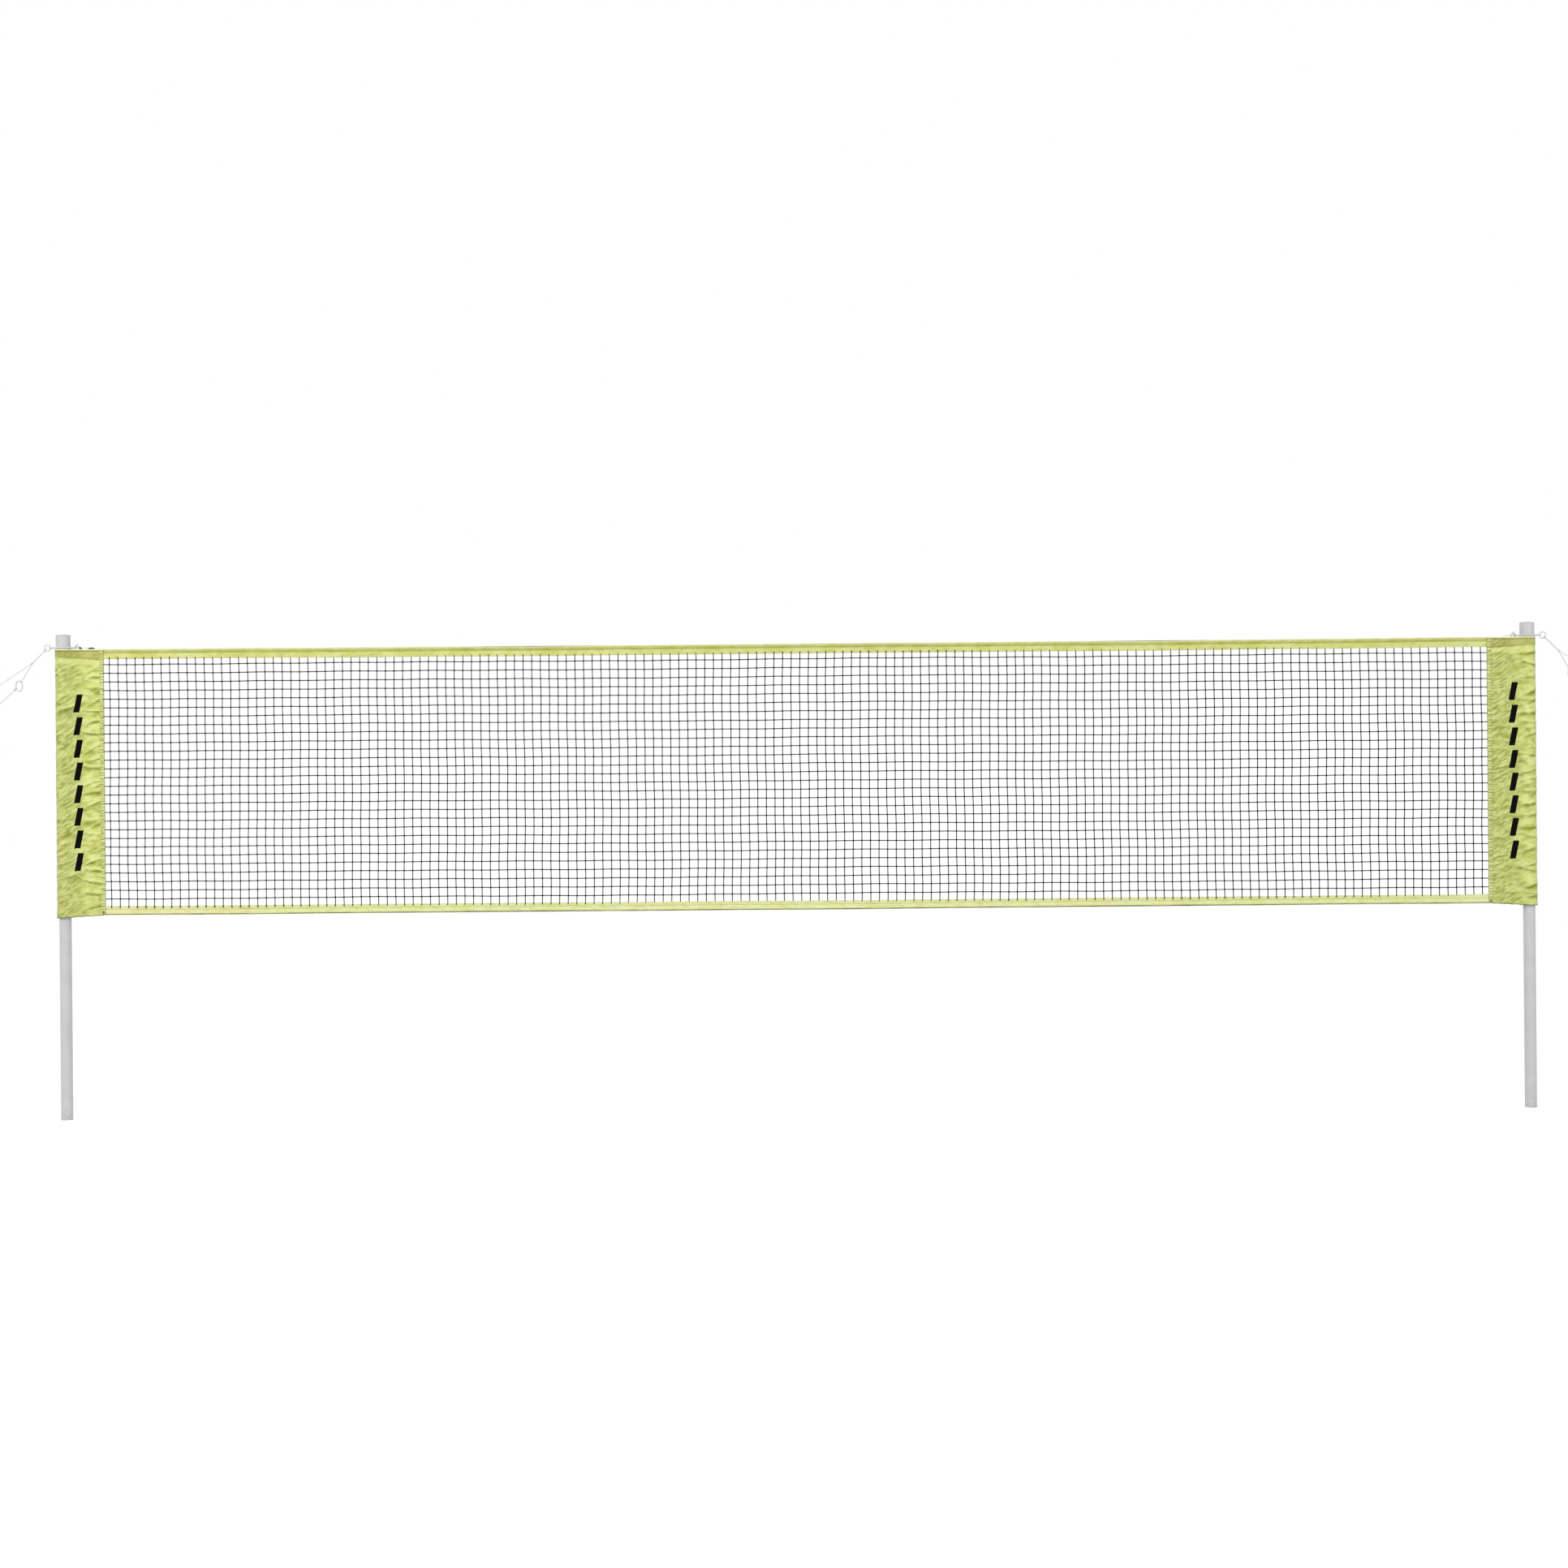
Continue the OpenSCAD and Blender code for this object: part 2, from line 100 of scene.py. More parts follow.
@dataclass(frozen=True)
class Layout:
    """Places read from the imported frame, in metres."""

    pole_x: float
    tube_r: float
    net_half: float
    net_top: float
    net_bottom: float
    mesh_top: float
    mesh_bottom: float
    tie_z: float
    ring_x: float

    @classmethod
    def read(cls) -> "Layout":
        """Reads the places from the boxes of the frame's nodes.

        Returns:
            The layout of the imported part.
        """
        tube_low, tube_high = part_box("right_upper_tube")
        ring_low, ring_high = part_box("right_guy_ring")
        mesh_low, mesh_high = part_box("net_mesh")
        return cls(
            pole_x=(tube_low[0] + tube_high[0]) / 2,
            tube_r=(tube_high[0] - tube_low[0]) / 2,
            net_half=mesh_high[0],
            net_top=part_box("top_tape")[1][2],
            net_bottom=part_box("bottom_tape")[0][2],
            mesh_top=mesh_high[2],
            mesh_bottom=mesh_low[2],
            tie_z=(ring_low[2] + ring_high[2]) / 2,
            ring_x=(ring_low[0] + ring_high[0]) / 2,
        )

    def sag(self, x: np.ndarray) -> np.ndarray:
        """How far the net hangs down at each place along it."""
        return SAG * (1 - np.clip(np.abs(x) / self.net_half, 0.0, 1.0) ** 2)


# Finishes


def linear(hex_colour: str) -> tuple[float, ...]:
    """Turns an sRGB colour, written as "#rrggbb", into linear RGBA."""
    channels = [int(hex_colour[i : i + 2], 16) / 255 for i in (1, 3, 5)]
    return (*(c / 12.92 if c <= 0.04045 else ((c + 0.055) / 1.055) ** 2.4 for c in channels), 1.0)


def put(tree: Tree, kind: str, inputs: dict | None = None, out: str | int = 0, **settings: object) -> Socket:
    """Adds one shader node.

    Args:
        tree: The node tree that it joins.
        kind: The node's type, without its prefix.
        inputs: What goes into its sockets, by name or number: an output to link, or a plain value.
        out: The output that is wanted, by name or number.
        settings: The node's own settings.

    Returns:
        That output, or None where the node has none.
    """
    node = tree.nodes.new("ShaderNode" + kind)
    for name, value in settings.items():
        setattr(node, name, value)
    for name, value in (inputs or {}).items():
        if isinstance(value, Socket):
            tree.links.new(value, node.inputs[name])
        else:
            node.inputs[name].default_value = value
    return node.outputs[out] if node.outputs else None


def grain(size_mm: float) -> float:
    """Scale of a noise whose features are about this size."""
    return 1 / (size_mm * MM)


def banding(pitch_mm: float) -> float:
    """Scale of a wave whose bands repeat at this pitch."""
    return math.pi / 10 / (pitch_mm * MM)


def within(tree: Tree, value: Socket, low: float, high: float, soft: float) -> Socket:
    """Makes a mask that is 1 where a value lies between two limits.

    Args:
        tree: The material's node tree.
        value: The value to test.
        low: Lower limit.
        high: Upper limit.
        soft: Half the width of each soft edge.

    Returns:
        The mask.
    """
    rise, fall = (
        put(
            tree,
            "MapRange",
            {"Value": value, "From Min": limit - soft, "From Max": limit + soft, "To Min": a, "To Max": b},
            interpolation_type="SMOOTHSTEP",
        )
        for limit, a, b in ((low, 0.0, 1.0), (high, 1.0, 0.0))
    )
    return put(tree, "Math", {0: rise, 1: fall}, operation="MULTIPLY")


def tinted(tree: Tree, base: Socket | tuple, hex_colour: str, mask: Socket, strength: float = 1.0) -> Socket:
    """Lays a colour over another where a mask is 1.

    Args:
        tree: The material's node tree.
        base: The colour below.
        hex_colour: The colour to lay over it.
        mask: Where it goes.
        strength: How much of it shows there.

    Returns:
        The new colour.
    """
    share = put(tree, "Math", {0: mask, 1: strength}, operation="MULTIPLY")
    both = {MIX_FACTOR: share, MIX_A: base, MIX_B: linear(hex_colour)}
    return put(tree, "Mix", both, MIX_RESULT, data_type="RGBA")


@dataclass(frozen=True)
class Finish:
    """What every finish has: the material's name, its colour and its roughness."""

    name: str
    colour: str
    roughness: float

    def material(self) -> bpy.types.Material:
        """Makes the material once, and gives the same one after that.

        Returns:
            The material.
        """
        found = bpy.data.materials.get(self.name)
        if found:
            return found
        made = bpy.data.materials.new(self.name)
        made.use_nodes = True
        tree = made.node_tree
        tree.nodes.clear()
        plain = {"Base Color": linear(self.colour), "Roughness": self.roughness}
        put(tree, "OutputMaterial", {"Surface": put(tree, "BsdfPrincipled", plain | self.look(tree))})
        return made

    def look(self, tree: Tree) -> dict[str, object]:
        """Adds this finish's own pattern and relief.

        Args:
            tree: The material's node tree.

        Returns:
            Inputs of the Principled shader.
        """
        raise NotImplementedError


@dataclass(frozen=True)
class PowderCoat(Finish):
    """Powder-coated steel tube: even light grey with a satin, slightly pebbled skin."""

    shade: str = "#bdbdbf"
    bare: str = "#8d8d8f"
    pebble_mm: float = 1.6
    cloud_mm: float = 45.0
    scuff_mm: float = 3.0
    scuff_top: float = 0.05

    def look(self, tree: Tree) -> dict[str, object]:
        """Pebbled skin, faint clouds in the coat and scuffs near the ground.

        Args:
            tree: The material's node tree.

        Returns:
            Inputs of the Principled shader.
        """
        place = put(tree, "TexCoord", out="Object")
        pebble, cloud, scuff = (
            put(tree, "TexNoise", {"Vector": place, "Scale": grain(size), "Detail": detail})
            for size, detail in ((self.pebble_mm, 2.0), (self.cloud_mm, 4.0), (self.scuff_mm, 5.0))
        )
        clouded = tinted(tree, linear(self.colour), self.shade, within(tree, cloud, 0.55, ANY, 0.2), 0.35)
        height = put(tree, "SeparateXYZ", {"Vector": place}, "Z")
        near_ground = within(tree, height, -1.0, self.scuff_top / 2, self.scuff_top / 2)
        rubbed = within(tree, scuff, 0.6, ANY, 0.03)
        scuffed = put(tree, "Math", {0: near_ground, 1: rubbed}, operation="MULTIPLY")
        return {
            "Base Color": tinted(tree, clouded, self.bare, scuffed),
            "Normal": put(tree, "Bump", {"Height": pebble, "Strength": 0.35, "Distance": 0.0001}),
        }


@dataclass(frozen=True)
class MouldedPlastic(Finish):
    """Moulded plastic: one even colour, a soft gloss and very faint flow marks."""

    shade: str = "#d9d9d9"
    flow_mm: float = 9.0
    skin_mm: float = 0.8
    inside: float = 0.08
    inside_reach: float = 0.002

    def look(self, tree: Tree) -> dict[str, object]:
        """Flow marks in the colour, a fine skin and a little light inside the plastic.

        Args:
            tree: The material's node tree.

        Returns:
            Inputs of the Principled shader.
        """
        place = put(tree, "TexCoord", out="Object")
        swirled = {"Vector": place, "Scale": grain(self.flow_mm), "Detail": 3.0, "Distortion": 1.5}
        marks = within(tree, put(tree, "TexNoise", swirled), 0.6, ANY, 0.15)
        skin = put(tree, "TexNoise", {"Vector": place, "Scale": grain(self.skin_mm), "Detail": 2.0})
        return {
            "Base Color": tinted(tree, linear(self.colour), self.shade, marks),
            "Subsurface Weight": self.inside,
            "Subsurface Radius": (self.inside_reach,) * 3,
            "Normal": put(tree, "Bump", {"Height": skin, "Strength": 0.2, "Distance": 0.00005}),
        }


@dataclass(frozen=True)
class PlatedSteel(Finish):
    """Zinc-plated spring steel: bright metal with fine drawing lines."""

    line_mm: float = 0.4

    def look(self, tree: Tree) -> dict[str, object]:
        """Drawing lines across the strip, in the relief and in the gloss.

        Args:
            tree: The material's node tree.

        Returns:
            Inputs of the Principled shader.
        """
        place = put(tree, "TexCoord", out="Object")
        drawn = put(tree, "Mapping", {"Vector": place, "Scale": (1.0, 1.0, 0.08)})
        lines = put(tree, "TexNoise", {"Vector": drawn, "Scale": grain(self.line_mm), "Detail": 2.0})
        gloss = {"Value": lines, "To Min": self.roughness - 0.08, "To Max": self.roughness + 0.12}
        return {
            "Metallic": 1.0,
            "Roughness": put(tree, "MapRange", gloss),
            "Normal": put(tree, "Bump", {"Height": lines, "Strength": 0.2, "Distance": 0.00003}),
        }


@dataclass(frozen=True)
class Braid(Finish):
    """Braided polyester cord: crossing yarns with painted shade in the grooves where they dip under."""

    # Painted shade in the grooves between the yarns.
    groove_shade: str = "#9a9aa2"
    pitch_mm: float = 4.0
    yarns: int = 4

    def look(self, tree: Tree) -> dict[str, object]:
        """Two families of yarns that wind round the cord in opposite ways.

        Args:
            tree: The material's node tree.

        Returns:
            Inputs of the Principled shader.
        """
        uv = put(tree, "UVMap")
        spots = [put(tree, "SeparateXYZ", {"Vector": uv}, way) for way in "XY"]
        along, turn = (
            put(tree, "Math", {0: spot, 1: math.tau * rate}, operation="MULTIPLY")
            for spot, rate in zip(spots, (1 / (self.pitch_mm * MM), self.yarns))
        )
        phases = [put(tree, "Math", {0: along, 1: turn}, operation=way) for way in ("ADD", "SUBTRACT")]
        waves = [put(tree, "Math", {0: phase}, operation="SINE") for phase in phases]
        height = put(tree, "Math", {0: waves[0], 1: waves[1]}, operation="MAXIMUM")
        # Painted shade in the grooves, where the yarns dip under.
        proud = within(tree, height, 0.1, ANY, 0.35)
        return {
            "Base Color": tinted(tree, linear(self.groove_shade), self.colour, proud),
            "Specular IOR Level": 0.2,
            "Normal": put(tree, "Bump", {"Height": height, "Strength": 0.6, "Distance": 0.0003}),
        }


@dataclass(frozen=True)
class TwistedTwine(Finish):
    """Twisted nylon twine: near black, with slanting strands and a dull shine."""

    lit: str = "#24262a"
    strand_mm: float = 2.6

    def look(self, tree: Tree) -> dict[str, object]:
        """Slanting strands, which cross both the upright and the level twines.

        Args:
            tree: The material's node tree.

        Returns:
            Inputs of the Principled shader.
        """
        place = put(tree, "TexCoord", out="Object")
        twist = {"Vector": place, "Scale": banding(self.strand_mm), "Distortion": 1.0, "Detail": 1.0}
        strands = put(tree, "TexWave", twist, "Fac", bands_direction="DIAGONAL")
        return {
            "Base Color": tinted(tree, linear(self.colour), self.lit, strands),
            "Specular IOR Level": 0.12,
            "Normal": put(tree, "Bump", {"Height": strands, "Strength": 0.5, "Distance": 0.0002}),
        }


@dataclass(frozen=True)
class WovenCloth(Finish):
    """Polyester oxford cloth: a plain weave that lies dull and shows every crease."""

    light: str = "#e2e896"
    # Painted shade over the part of each sleeve towards -X.
    side_shade: str = "#a7ac6c"
    shade: str = "#98a040"
    # Painted shade in hollows and creases.
    hollow_shade: str = "#7b831f"
    # Painted highlight along the rounded outer edge of a sleeve.
    rim_highlight: str = "#cdd0bc"
    stitch: str = "#7f8638"
    # The real threads are 0.5 mm apart. They are drawn coarser, so that they show.
    thread_mm: float = 1.3
    cloud_mm: float = 34.0
    # Size and strength of the painted shade and highlight of small crumples.
    crumple_shading_mm: float = 6.5
    crumple_shading_share: float = 0.42
    streak: float = 3.4
    # Turn of the streaks in cloth that lies level and in cloth that is pulled slantwise.
    turns: tuple[float, float] = (0.15, 0.60)
    stitch_mm: float = 4.2
    stitch_gap_mm: float = 1.5
    stitch_wide: float = 0.001

    def look(self, tree: Tree) -> dict[str, object]:
        """Weave, tone and the pattern of this cloth, all on its own UV map.

        Args:
            tree: The material's node tree.

        Returns:
            Inputs of the Principled shader.
        """
        uv = put(tree, "UVMap")
        across, up = (put(tree, "SeparateXYZ", {"Vector": uv}, way) for way in "XY")
        weave = {"Vector": uv, "Scale": banding(self.thread_mm)}
        threads = [put(tree, "TexWave", weave, "Fac", bands_direction=way) for way in "XY"]
        woven = put(tree, "Math", {0: threads[0], 1: threads[1]}, operation="MULTIPLY")
        return {
            "Base Color": self.patterned(tree, self.toned(tree, uv), across, up),
            "Specular IOR Level": 0.12,
            "Normal": put(tree, "Bump", {"Height": woven, "Strength": 0.35, "Distance": 0.0002}),
        }

    def patterned(self, tree: Tree, colour: Socket, across: Socket, up: Socket) -> Socket:
        """Adds hems, bands, stitches or prints to the plain cloth.

        Args:
            tree: The material's node tree.
            colour: The plain cloth's colour.
            across: The first coordinate of its UV map, in metres.
            up: The second one.

        Returns:
            The colour with the pattern.
        """
        raise NotImplementedError

    def toned(self, tree: Tree, uv: Socket) -> Socket:
        """Makes soft patches in the colour, and paints shade and highlight on streaked crumples, on creases,
        along the rounded outer edge and over one side of a sleeve.

        Args:
            tree: The material's node tree.
            uv: The cloth's UV map.

        Returns:
            The plain cloth's colour.
        """
        slant, crease, ridge, rim_highlight = (
            put(tree, "Attribute", out="Fac", attribute_name=name)
            for name in ("slant", "crease", "ridge", "rim_highlight")
        )
        cloud = put(tree, "TexNoise", {"Vector": uv, "Scale": grain(self.cloud_mm), "Detail": 3.0})
        base = tinted(tree, linear(self.colour), self.light, within(tree, cloud, 0.5, ANY, 0.14))
        # Painted shade over the part of each sleeve towards -X, as if lit from +X.
        base = tinted(tree, base, self.side_shade, slant, 0.35)
        streaks = []
        for turn, size in zip(self.turns, (self.crumple_shading_mm * 1.4, self.crumple_shading_mm)):
            way = {"Vector": uv, "Rotation": (0.0, 0.0, turn), "Scale": (self.streak, 1.0, 1.0)}
            drawn = {"Vector": put(tree, "Mapping", way, vector_type="TEXTURE"), "Scale": grain(size)}
            rough = {"Detail": 3.0, "Roughness": 0.6, "Distortion": 0.5}
            streaks.append(put(tree, "TexNoise", drawn | rough))
        # Painted shade in the low streaks and painted highlight in the high ones, for small crumples.
        crumple_shading = put(tree, "Mix", {0: slant, 2: streaks[0], 3: streaks[1]})
        strong = {"Value": slant, "To Min": 0.35 * self.crumple_shading_share, "To Max": self.crumple_shading_share}
        strength = put(tree, "MapRange", strong)
        for hex_colour, low, high in ((self.hollow_shade, -1.0, 0.45), (self.light, 0.55, ANY)):
            both = {0: within(tree, crumple_shading, low, high, 0.08), 1: strength}
            base = tinted(tree, base, hex_colour, put(tree, "Math", both, operation="MULTIPLY"))
        # Painted shade in creases, painted highlight on ridges and a painted highlight along the rounded
        # outer edge.
        for hex_colour, mask in ((self.hollow_shade, crease), (self.light, ridge), (self.rim_highlight, rim_highlight)):
            base = tinted(tree, base, hex_colour, mask)
        return base

    def stitches(self, tree: Tree, along: Socket, out: Socket, row: float) -> Socket:
        """Makes one row of running stitches.

        Args:
            tree: The material's node tree.
            along: Distance along the row.
            out: Distance across it.
            row: Where the row lies.

        Returns:
            A mask that is 1 on the stitches.
        """
        step = put(tree, "Math", {0: along, 1: self.stitch_mm * MM}, operation="FLOORED_MODULO")
        start, end = 0.4 * self.stitch_gap_mm, self.stitch_mm - 0.6 * self.stitch_gap_mm
        dash = within(tree, step, start * MM, end * MM, 0.0002)
        line = within(tree, out, row - self.stitch_wide / 2, row + self.stitch_wide / 2, 0.0003)
        return put(tree, "Math", {0: dash, 1: line}, operation="MULTIPLY")


@dataclass(frozen=True)
class Bars:
    """A column of plain slanting bars, in metres from the outermost line and the lower edge."""

    count: int = 8
    centre: float = 0.0885
    first: float = 0.174
    pitch: float = 0.0719
    width: float = 0.019
    height: float = 0.057
    lean: float = 0.2
    soft: float = 0.0003


@dataclass(frozen=True)
class SleeveCloth(WovenCloth):
    """The sleeves' cloth, with a doubled hem at each end and printed bars on both faces."""

    length: float = 0.85
    half_width: float = 0.19
    top_hem: float = 0.033
    bottom_hem: float = 0.036
    hem_slope: float = 0.05
    edge: str = "#eef0c6"
    # Darker doubled hem, with painted shade under the rope.
    doubled_hem_shade: str = "#a09a52"
    line: str = "#7c8338"
    ink: str = "#020202"
    bars: Bars = Bars()

    def patterned(self, tree: Tree, colour: Socket, across: Socket, up: Socket) -> Socket:
        """Darker doubled cloth in the hems, with painted shade under the rope's bulge, painted shadow lines
        under the upper hem's fold and along the lower edge, a painted highlight on the turned top edge,
        stitches and the bars.

        Args:
            tree: The material's node tree.
            colour: The plain cloth's colour.
            across: Distance round the sleeve from its outermost line.
            up: Height above its lower edge.

        Returns:
            The colour with the pattern.
        """
        top, hem = self.length, self.length - self.top_hem
        reach = put(tree, "Math", {0: across}, operation="ABSOLUTE")
        rise = {0: reach, 1: self.hem_slope, 2: -self.hem_slope * self.half_width}
        risen = put(tree, "Math", rise, operation="MULTIPLY_ADD")
        level = put(tree, "Math", {0: up, 1: risen}, operation="ADD")
        inward = put(tree, "Math", {0: reach, 1: 1 / self.half_width}, operation="MULTIPLY")
        fold = {0: within(tree, level, hem - 0.002, hem + 0.001, 0.0015), 1: inward}
        layers = (
            # Darker doubled cloth in the upper hem, partly painted shade under the rope's bulge.
            (self.doubled_hem_shade, within(tree, level, hem, ANY, 0.0015), 0.42),
            (self.light, within(tree, level, hem - 0.019, hem - 0.003, 0.004), 0.6),
            # Painted shadow under the hem's fold, strongest towards the seam.
            (self.line, put(tree, "Math", fold, operation="MULTIPLY"), 0.95),
            # Painted shade under the rope, then a painted highlight on the turned top edge.
            (self.line, within(tree, up, top - 0.0085, top - 0.0045, 0.0012), 0.55),
            (self.edge, within(tree, up, top - 0.0035, ANY, 0.0012), 1.0),
            # Painted shadow along the lower edge.
            (self.line, within(tree, up, -1.0, 0.0028, 0.0012), 0.9),
            (self.shade, within(tree, up, 0.004, self.bottom_hem, 0.003), 0.16),
            (self.stitch, self.stitches(tree, across, up, self.bottom_hem), 1.0),
            (self.stitch, self.stitches(tree, across, up, self.bottom_hem + 0.003), 1.0),
            (self.stitch, self.stitches(tree, across, level, hem + 0.004), 1.0),
            (self.ink, self.printed(tree, across, up), 1.0),
        )
        for layer in layers:
            colour = tinted(tree, colour, *layer)
        return colour

    def printed(self, tree: Tree, across: Socket, up: Socket) -> Socket:
        """Makes a column of slanting bars on each face, all leaning the same way.

        Args:
            tree: The material's node tree.
            across: Distance round the sleeve from its outermost line.
            up: Height above its lower edge.

        Returns:
            A mask that is 1 on the bars.
        """
        bars = self.bars
        sign = put(tree, "Math", {0: across}, operation="SIGN")
        centre = put(tree, "Math", {0: sign, 1: bars.centre}, operation="MULTIPLY")
        away = put(tree, "Math", {0: across, 1: centre}, operation="SUBTRACT")
        start = put(tree, "Math", {0: up, 1: bars.first - bars.pitch / 2}, operation="SUBTRACT")
        step = put(tree, "Math", {0: start, 1: bars.pitch}, operation="FLOORED_MODULO")
        middle = put(tree, "Math", {0: step, 1: bars.pitch / 2}, operation="SUBTRACT")
        lean = put(tree, "Math", {0: middle, 1: -bars.lean, 2: away}, operation="MULTIPLY_ADD")
        mask = within(tree, start, 0.0, bars.count * bars.pitch, bars.soft)
        for place, size in ((lean, bars.width), (middle, bars.height)):
            side = within(tree, place, -size / 2, size / 2, bars.soft)
            mask = put(tree, "Math", {0: mask, 1: side}, operation="MULTIPLY")
        return mask


@dataclass(frozen=True)
class Band:
    """A stripe along a tape, in metres from its fold."""

    low: float
    high: float
    soft: float
    colour: str
    strength: float


@dataclass(frozen=True)
class TapeCloth(WovenCloth):
    """Folded polyester tape: pale and dull, with stripes of painted highlight and shade where it rounds and
    dips beside the rope.
    """

    bands: tuple[Band, ...] = ()
    stitch_row: float = 0.0
    whip_mm: float = 0.0
    whip_share: float = 0.25
    patch_mm: float = 110.0

    def patterned(self, tree: Tree, colour: Socket, across: Socket, up: Socket) -> Socket:
        """Stripes, mostly of painted highlight and shade, that come and go along the tape, and a row of
        stitches.

        Args:
            tree: The material's node tree.
            colour: The plain cloth's colour.
            across: Distance along the tape.
            up: Distance from its middle line.

        Returns:
            The colour with the pattern.
        """
        reach = put(tree, "Math", {0: up}, operation="ABSOLUTE")
        place = put(tree, "CombineXYZ", {"X": across})
        noise = put(tree, "TexNoise", {"Vector": place, "Scale": grain(self.patch_mm), "Detail": 3.0})
        faded = {"Value": noise, "From Min": 0.3, "From Max": 0.65, "To Min": 0.55, "To Max": 1.0}
        patches = put(tree, "MapRange", faded)
        for band in self.bands:
            both = {0: within(tree, reach, band.low, band.high, band.soft), 1: patches}
            stripe = put(tree, "Math", both, operation="MULTIPLY")
            colour = tinted(tree, colour, band.colour, stripe, band.strength)
        if self.whip_mm:
            step = put(tree, "Math", {0: across, 1: self.whip_mm * MM}, operation="FLOORED_MODULO")
            dash = within(tree, step, 0.0, self.whip_share * self.whip_mm * MM, 0.0005)
            colour = tinted(tree, colour, self.stitch, dash, 0.75)
        return tinted(tree, colour, self.stitch, self.stitches(tree, across, reach, self.stitch_row))


# The parts' finishes: the material's name, its colour, its roughness and what is its own.
POLE_COAT = PowderCoat("powder_coated_steel", "#cfcfd0", 0.42)
CAP_PLASTIC = MouldedPlastic("moulded_polyethylene_cap", "#cdcdcf", 0.5, shade="#c2c2c5")
BUSH_PLASTIC = MouldedPlastic("moulded_acetal_bush", "#e9e9e6", 0.35, shade="#dededb")
RING_PLASTIC = MouldedPlastic("moulded_nylon_ring", "#e4e2ea", 0.4, shade="#d6d3de")
SPRING_STEEL = PlatedSteel("zinc_plated_spring_steel", "#b9bcc0", 0.3)
WHITE_BRAID = Braid("white_braided_polyester", "#f3f2f4", 0.7, groove_shade="#d3d1d8", pitch_mm=4.0)
BLACK_BRAID = Braid("black_braided_polyester", "#1b1b1d", 0.6, groove_shade="#0c0c0d", pitch_mm=6.0, yarns=6)
NET_TWINE = TwistedTwine("twisted_nylon_twine", "#101113", 0.6)
TACK_THREAD = Braid("orange_bonded_thread", "#cf7f3c", 0.6, groove_shade="#a5602a", pitch_mm=1.2, yarns=2)
SLEEVE_CLOTH = SleeveCloth("polyester_oxford_cloth", "#c6cc6a", 0.85)
BINDING = TapeCloth(
    "polyester_binding",
    "#d0d581",
    0.85,
    light="#e8eba6",
    shade="#a3a957",
    stitch="#9d9c4c",
    # Painted shade along the band's fold over the seam.
    bands=(Band(-1.0, 0.0034, 0.0008, "#8e9468", 0.6),),
    stitch_row=0.0095,
    whip_mm=9.3,
)
TOP_TAPE = TapeCloth(
    "woven_polyester_top_tape",
    "#d2d67c",
    0.85,
    light="#dfe295",
    shade="#a2a748",
    bands=(
        # Painted highlight on the rounded top over the rope.
        Band(-1.0, 0.0042, 0.0018, "#ecedca", 0.82),
        # Painted shade and then a painted shadow below the rope's bulge.
        Band(0.0052, 0.0105, 0.0025, "#a9ae58", 0.24),
        Band(0.0105, 0.0165, 0.002, "#8f9539", 0.66),
    ),
    cloud_mm=50.0,
)
BOTTOM_TAPE = TapeCloth(
    "woven_polyester_bottom_tape",
    "#e8eba3",
    0.85,
    light="#edf0b4",
    shade="#a9ae58",
    # Painted shadow along the folded lower edge, and a faint darker stripe towards the netting.
    bands=(Band(-1.0, 0.0048, 0.001, "#64692a", 0.95), Band(0.0175, 0.035, 0.0025, "#a9ae58", 0.15)),
    stitch_row=0.0185,
    cloud_mm=50.0,
)


# Meshes


def piece_from(bm: bmesh.types.BMesh, name: str, smooth: bool = True) -> Piece:
    """Turns a bmesh into a linked object at the origin.

    Args:
        bm: The bmesh, which is freed.
        name: The object's name.
        smooth: Whether its faces are shaded smooth.

    Returns:
        The new object.
    """
    mesh = bpy.data.meshes.new(name)
    bm.to_mesh(mesh)
    bm.free()
    mesh.polygons.foreach_set("use_smooth", [smooth] * len(mesh.polygons))
    made = bpy.data.objects.new(name, mesh)
    bpy.context.collection.objects.link(made)
    return made


def rounded_route(points: Sequence[Sequence[float]], step: float, rounds: int) -> list[Vector]:
    """Turns a few corners into a close, softly bent line.

    Args:
        points: The corners.
        step: Distance between the new points.
        rounds: How often the inner points are drawn towards their neighbours.

    Returns:
        The points of the line, with the same two ends.
    """
    corners = [Vector(p) for p in points]
    line = evened(corners, step) + corners[-1:]
    for _ in range(rounds):
        inner = [(a + b * 2 + c) / 4 for a, b, c in zip(line, line[1:], line[2:])]
        line = [line[0], *inner, line[-1]]
    return line


def evened(corners: Sequence[Vector], step: float) -> list[Vector]:
    """Adds points between corners, and leaves out the last corner.

    Args:
        corners: The corners.
        step: Distance between the new points.

    Returns:
        The points of the line.
    """
    line = []
    for start, end in zip(corners, corners[1:]):
        count = max(1, round((end - start).length / step))
        line += [start.lerp(end, k / count) for k in range(count)]
    return line


def helix_round(
    centre: Vector, axis: Vector, radius: float, pitch: float, turns: float, steps: int = 14
) -> list[Vector]:
    """Finds the points of a cord wound round a line.

    Args:
        centre: Middle of the winding.
        axis: Direction of the line that it is wound round.
        radius: Distance of the cord's centre from that line.
        pitch: Rise of one turn.
        turns: Number of turns.
        steps: Points in a turn.

    Returns:
        The points.
    """
    along = axis.normalized()
    across = along.orthogonal().normalized()
    up = along.cross(across)
    line = []
    for k in range(round(turns * steps) + 1):
        angle = math.tau * k / steps
        rise = along * (pitch * (k / steps - turns / 2))
        line.append(centre + rise + (across * math.cos(angle) + up * math.sin(angle)) * radius)
    return line


